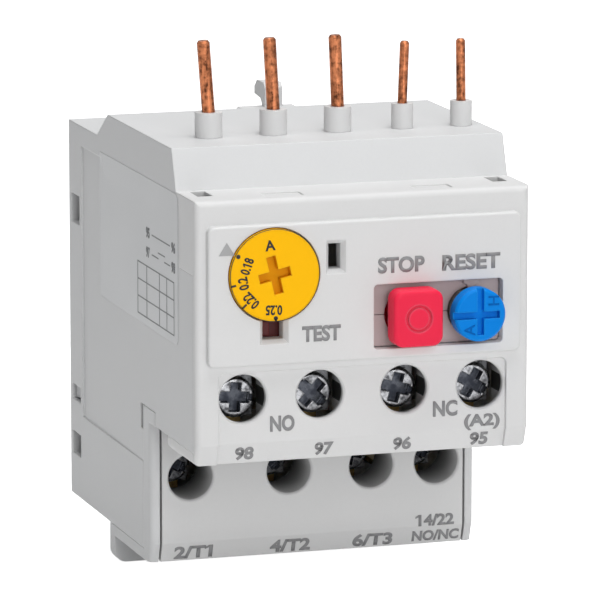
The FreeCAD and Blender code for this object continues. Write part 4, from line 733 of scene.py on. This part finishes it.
SCALE = [("0.18", 160.0, 3.95, 2.15), ("0.2", 191.5, 4.3, 1.65), ("0.22", 224.0, 4.45, 2.2),
         ("0.25", 268.0, 4.5, 2.2)]
for text, angle, radius, width in SCALE:
    lettering("scale_" + text.replace(".", "_"), text, on_dial(angle, radius), FIGURE_TALL * MM,
              tops_outward(angle), "dial", FINISHES["black_print_and_gap_shadow"], width=width * MM, bold=0.03)
lettering("scale_A", "A", on_dial(99.6, 3.95), LETTER_TALL * MM, tops_outward(96.0), "dial",
          FINISHES["black_print_and_gap_shadow"], bold=0.025)
for name, angle in (("scale_dot_low", 151.5), ("scale_dot_high", 271.0)):
    printed(name, flat_circle(DOT_RADIUS * MM), on_dial(angle, DOT_PLACE), turned_face(), "dial",
            FINISHES["black_print_and_gap_shadow"])
for name, angle, inner in (("scale_bar_1", 191.5, 5.3), ("scale_bar_2", 223.0, 5.2),
                           ("scale_tail", 271.0, 5.6)):
    printed(name, flat_bar(BAR_WIDTH * MM, (DIAL_RADIUS - inner) * MM),
            on_dial(angle, (inner + DIAL_RADIUS) / 2), tops_outward(angle), "dial",
            FINISHES["black_print_and_gap_shadow"])
# Painted shadow: a thin black ring on the dial's rim stands for the shade in the gap round the
# dial.
printed("dial_gap_shadow", flat_ring(DIAL_RADIUS * MM, GAP_SHADOW_LINE * MM), on_dial(0.0, 0.0),
        turned_face(), "dial", FINISHES["black_print_and_gap_shadow"])

# %% Pointer on the plate
POINTER_X, POINTER_Z, POINTER_WIDTH, POINTER_TALL = -18.62, 46.04, 2.13, 1.67
FINISHES["pointer"] = flat_ink("pointer_grey", (0.38, 0.38, 0.385))
triangle = flat_circle(1.0, 3)
low, high = extent(triangle)
centred(triangle, low, high, POINTER_WIDTH * MM / (high[0] - low[0]),
        POINTER_TALL * MM / (high[1] - low[1]))
printed("dial_pointer", triangle, bench(POINTER_X, PLATE - INK_GAP, POINTER_Z), turned_face(),
        "housing", FINISHES["pointer"])
print("pointer placed")

# %% [markdown]
# ## Letters on the reset knob
# The blue knob is turned between two settings, and the letter of each is sunk into its face on
# either side of the slot.  They are made like the other markings, in a darker blue that is painted
# shade standing for the shadow in the sunk strokes, and they ride on the knob.

# %% Letters on the reset knob
# Painted shade: a darker blue for the shadow inside the sunk letters.
FINISHES["blue_ink"] = flat_ink("sunk_letter_shade_blue", (0.0, 0.12, 0.46), specular=0.08)
knob_low, knob_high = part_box("reset_knob")
knob_middle = (Vector(knob_low) + Vector(knob_high)) / 2
for text, across, up in (("H", 1.75, 1.85), ("A", -1.5, -1.85)):
    spot = Vector((knob_middle.x + across * MM, knob_low[1] - INK_GAP * MM,
                   knob_middle.z + up * MM))
    lettering("knob_" + text, text, spot, 1.45 * MM, tops_outward(180.0), "knob",
              FINISHES["blue_ink"], bold=0.01)
print("knob box:", knob_low, knob_high)

# %% [markdown]
# ## Button springs
# The stop and reset springs stand between the fixed bridge and a moving button.  Each is a copy of
# the CAD coil, welded and riding whole on the housing in place of the original, and the share of
# its length that it would keep when its button travels is printed.

# %% Button springs
COIL_WELD = 0.000001


def pressed_spring(node, travel):
    """A copy of a coil that rides on the housing; gives the share of its length left when its
    button travels, in metres.
    """
    low, high = (Vector(corner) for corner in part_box(node))
    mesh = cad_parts[node].data.copy()
    shape = bmesh.new()
    shape.from_mesh(mesh)
    bmesh.ops.remove_doubles(shape, verts=shape.verts, dist=COIL_WELD)
    shape.to_mesh(mesh)
    shape.free()
    piece = bpy.data.objects.new("coil_of_" + node, mesh)
    bpy.context.collection.objects.link(piece)
    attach(piece, "housing")
    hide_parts(node)
    keep = 1.0 - travel / (high.y - low.y)
    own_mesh(piece)
    return keep


for node, joint, travel in (("stop_spring", "stop_press", 0.0014),
                            ("reset_spring", "reset_press", 0.0016)):
    print(node, "keeps", round(pressed_spring(node, travel), 3), "of its length")

# %% [markdown]
# ## Side label
# A pale printed label sits on the left side, where the data of the relay would be.  It is kept
# plain: an outline, an empty table, and the two contacts with their terminal numbers.  The side
# slopes a little, so every point of the label, its lines and its figures is laid on the moulding
# by a ray cast from the left.

# %% Laying shapes on the side
FACING_LEFT = Matrix(((0, 0, -1, 0), (-1, 0, 0, 0), (0, 1, 0, 0), (0, 0, 0, 1)))
LABEL_FRONT, LABEL_REAR, LABEL_FOOT, LABEL_TOP = 7.8, 46.0, 32.1, 51.85
LABEL_LIFT, LABEL_THICKNESS, LABEL_CORNER = 0.05, 0.04, 1.0
RAY_START, OUTER_SIDE = -50.0 * MM, -22.5 * MM
bpy.context.view_layer.update()


def side_at(y, z):
    """Where the left side of the mouldings is, seen from the left at a depth and a height."""
    start = Vector((RAY_START, y, z))
    hits = [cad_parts[name].ray_cast(start, Vector((1.0, 0.0, 0.0)))
            for name in ("main_housing", "front_cover", "rear_cover")]
    return min([hit[1].x for hit in hits if hit[0]], default=OUTER_SIDE)


def lay_on_side(piece, lift):
    """Moves each point of a piece onto the side, at its own height above it."""
    for vertex in piece.data.vertices:
        vertex.co.x += side_at(vertex.co.y, vertex.co.z) - lift * MM


def side_spot(y, z):
    """A point in the middle plane, from where a shape is moved out onto the side."""
    spot = bench(0, y, z)
    spot.x = 0.0
    return spot


# %% Label sheet
FINISHES["label"] = plastic("label_silver", (0.56, 0.57, 0.58), (0.8, 0.8, 0.8), 0.38,
                            edge_highlight=0.3, radius=0.00005, grain=0.03)
FINISHES["label_ink"] = flat_ink("label_ink", (0.16, 0.165, 0.17), roughness=0.5)
sheet = bmesh.new()
bmesh.ops.create_grid(sheet, x_segments=12, y_segments=6, size=0.5)
bmesh.ops.scale(sheet, verts=sheet.verts,
                vec=((LABEL_REAR - LABEL_FRONT) * MM, (LABEL_TOP - LABEL_FOOT) * MM, 1.0))
corners = [vertex for vertex in sheet.verts if len(vertex.link_edges) == 2]
bmesh.ops.bevel(sheet, geom=corners, offset=LABEL_CORNER * MM, segments=4, profile=0.5,
                affect="VERTICES", material=-1)
bmesh.ops.triangulate(sheet, faces=[face for face in sheet.faces if len(face.verts) > 4])
label_middle = side_spot((LABEL_FRONT + LABEL_REAR) / 2, (LABEL_FOOT + LABEL_TOP) / 2)
label = printed("side_label", sheet, label_middle, FACING_LEFT, "housing", FINISHES["label"],
                thickness=LABEL_THICKNESS * MM)
lay_on_side(label, LABEL_LIFT - LABEL_THICKNESS)
print("side label, corners rounded:", len(corners))

# %% Label lines
LINE = 0.16


def label_line(name, y_from, y_to, z_from, z_to):
    """A thin printed line on the label, along the depth or up."""
    bar = flat_bar((abs(y_to - y_from) + LINE) * MM, (abs(z_to - z_from) + LINE) * MM)
    bmesh.ops.subdivide_edges(bar, edges=bar.edges[:], cuts=5, use_grid_fill=True)
    middle_of_line = side_spot((y_from + y_to) / 2, (z_from + z_to) / 2)
    lay_on_side(printed(name, bar, middle_of_line, FACING_LEFT, "housing",
                        FINISHES["label_ink"]), LABEL_LIFT)


TABLE_COLUMNS = (9.6, 13.0, 16.5, 22.6, 27.0)
TABLE_ROWS = (33.2, 35.5, 37.8, 40.1)
for index, z in enumerate(TABLE_ROWS):
    label_line("label_row_%d" % index, TABLE_COLUMNS[0], TABLE_COLUMNS[-1], z, z)
for index, y in enumerate(TABLE_COLUMNS):
    label_line("label_column_%d" % index, y, y, TABLE_ROWS[0], TABLE_ROWS[-1])

CLOSED_ROW, OPEN_ROW, ARM_RISE = 44.6, 42.0, 0.75
LEAD_FRONT, ARM_FRONT, ARM_REAR, LEAD_REAR = 11.5, 14.0, 17.0, 20.0
for index, (z, rise) in enumerate(((CLOSED_ROW, 0.0), (OPEN_ROW, ARM_RISE))):
    label_line("label_contact_%d_rear" % index, ARM_REAR, LEAD_REAR, z, z)
    label_line("label_contact_%d_front" % index, LEAD_FRONT, ARM_FRONT, z, z)
    label_line("label_contact_%d_arm" % index, ARM_FRONT, ARM_REAR, z + rise, z + rise)

NUMBER_REAR, NUMBER_FRONT, NUMBER_TALL, NUMBER_WIDE = 22.0, 9.9, 1.45, 1.7
CONTACT_NUMBERS = [("95", NUMBER_REAR, CLOSED_ROW), ("96", NUMBER_FRONT, CLOSED_ROW),
                   ("97", NUMBER_REAR, OPEN_ROW), ("98", NUMBER_FRONT, OPEN_ROW)]
for text, y, z in CONTACT_NUMBERS:
    lay_on_side(lettering("label_" + text, text, side_spot(y, z), NUMBER_TALL * MM, FACING_LEFT,
                          "housing", FINISHES["label_ink"], width=NUMBER_WIDE * MM), LABEL_LIFT)
print("label rows, columns and figures:", len(TABLE_ROWS), len(TABLE_COLUMNS),
      len(CONTACT_NUMBERS))
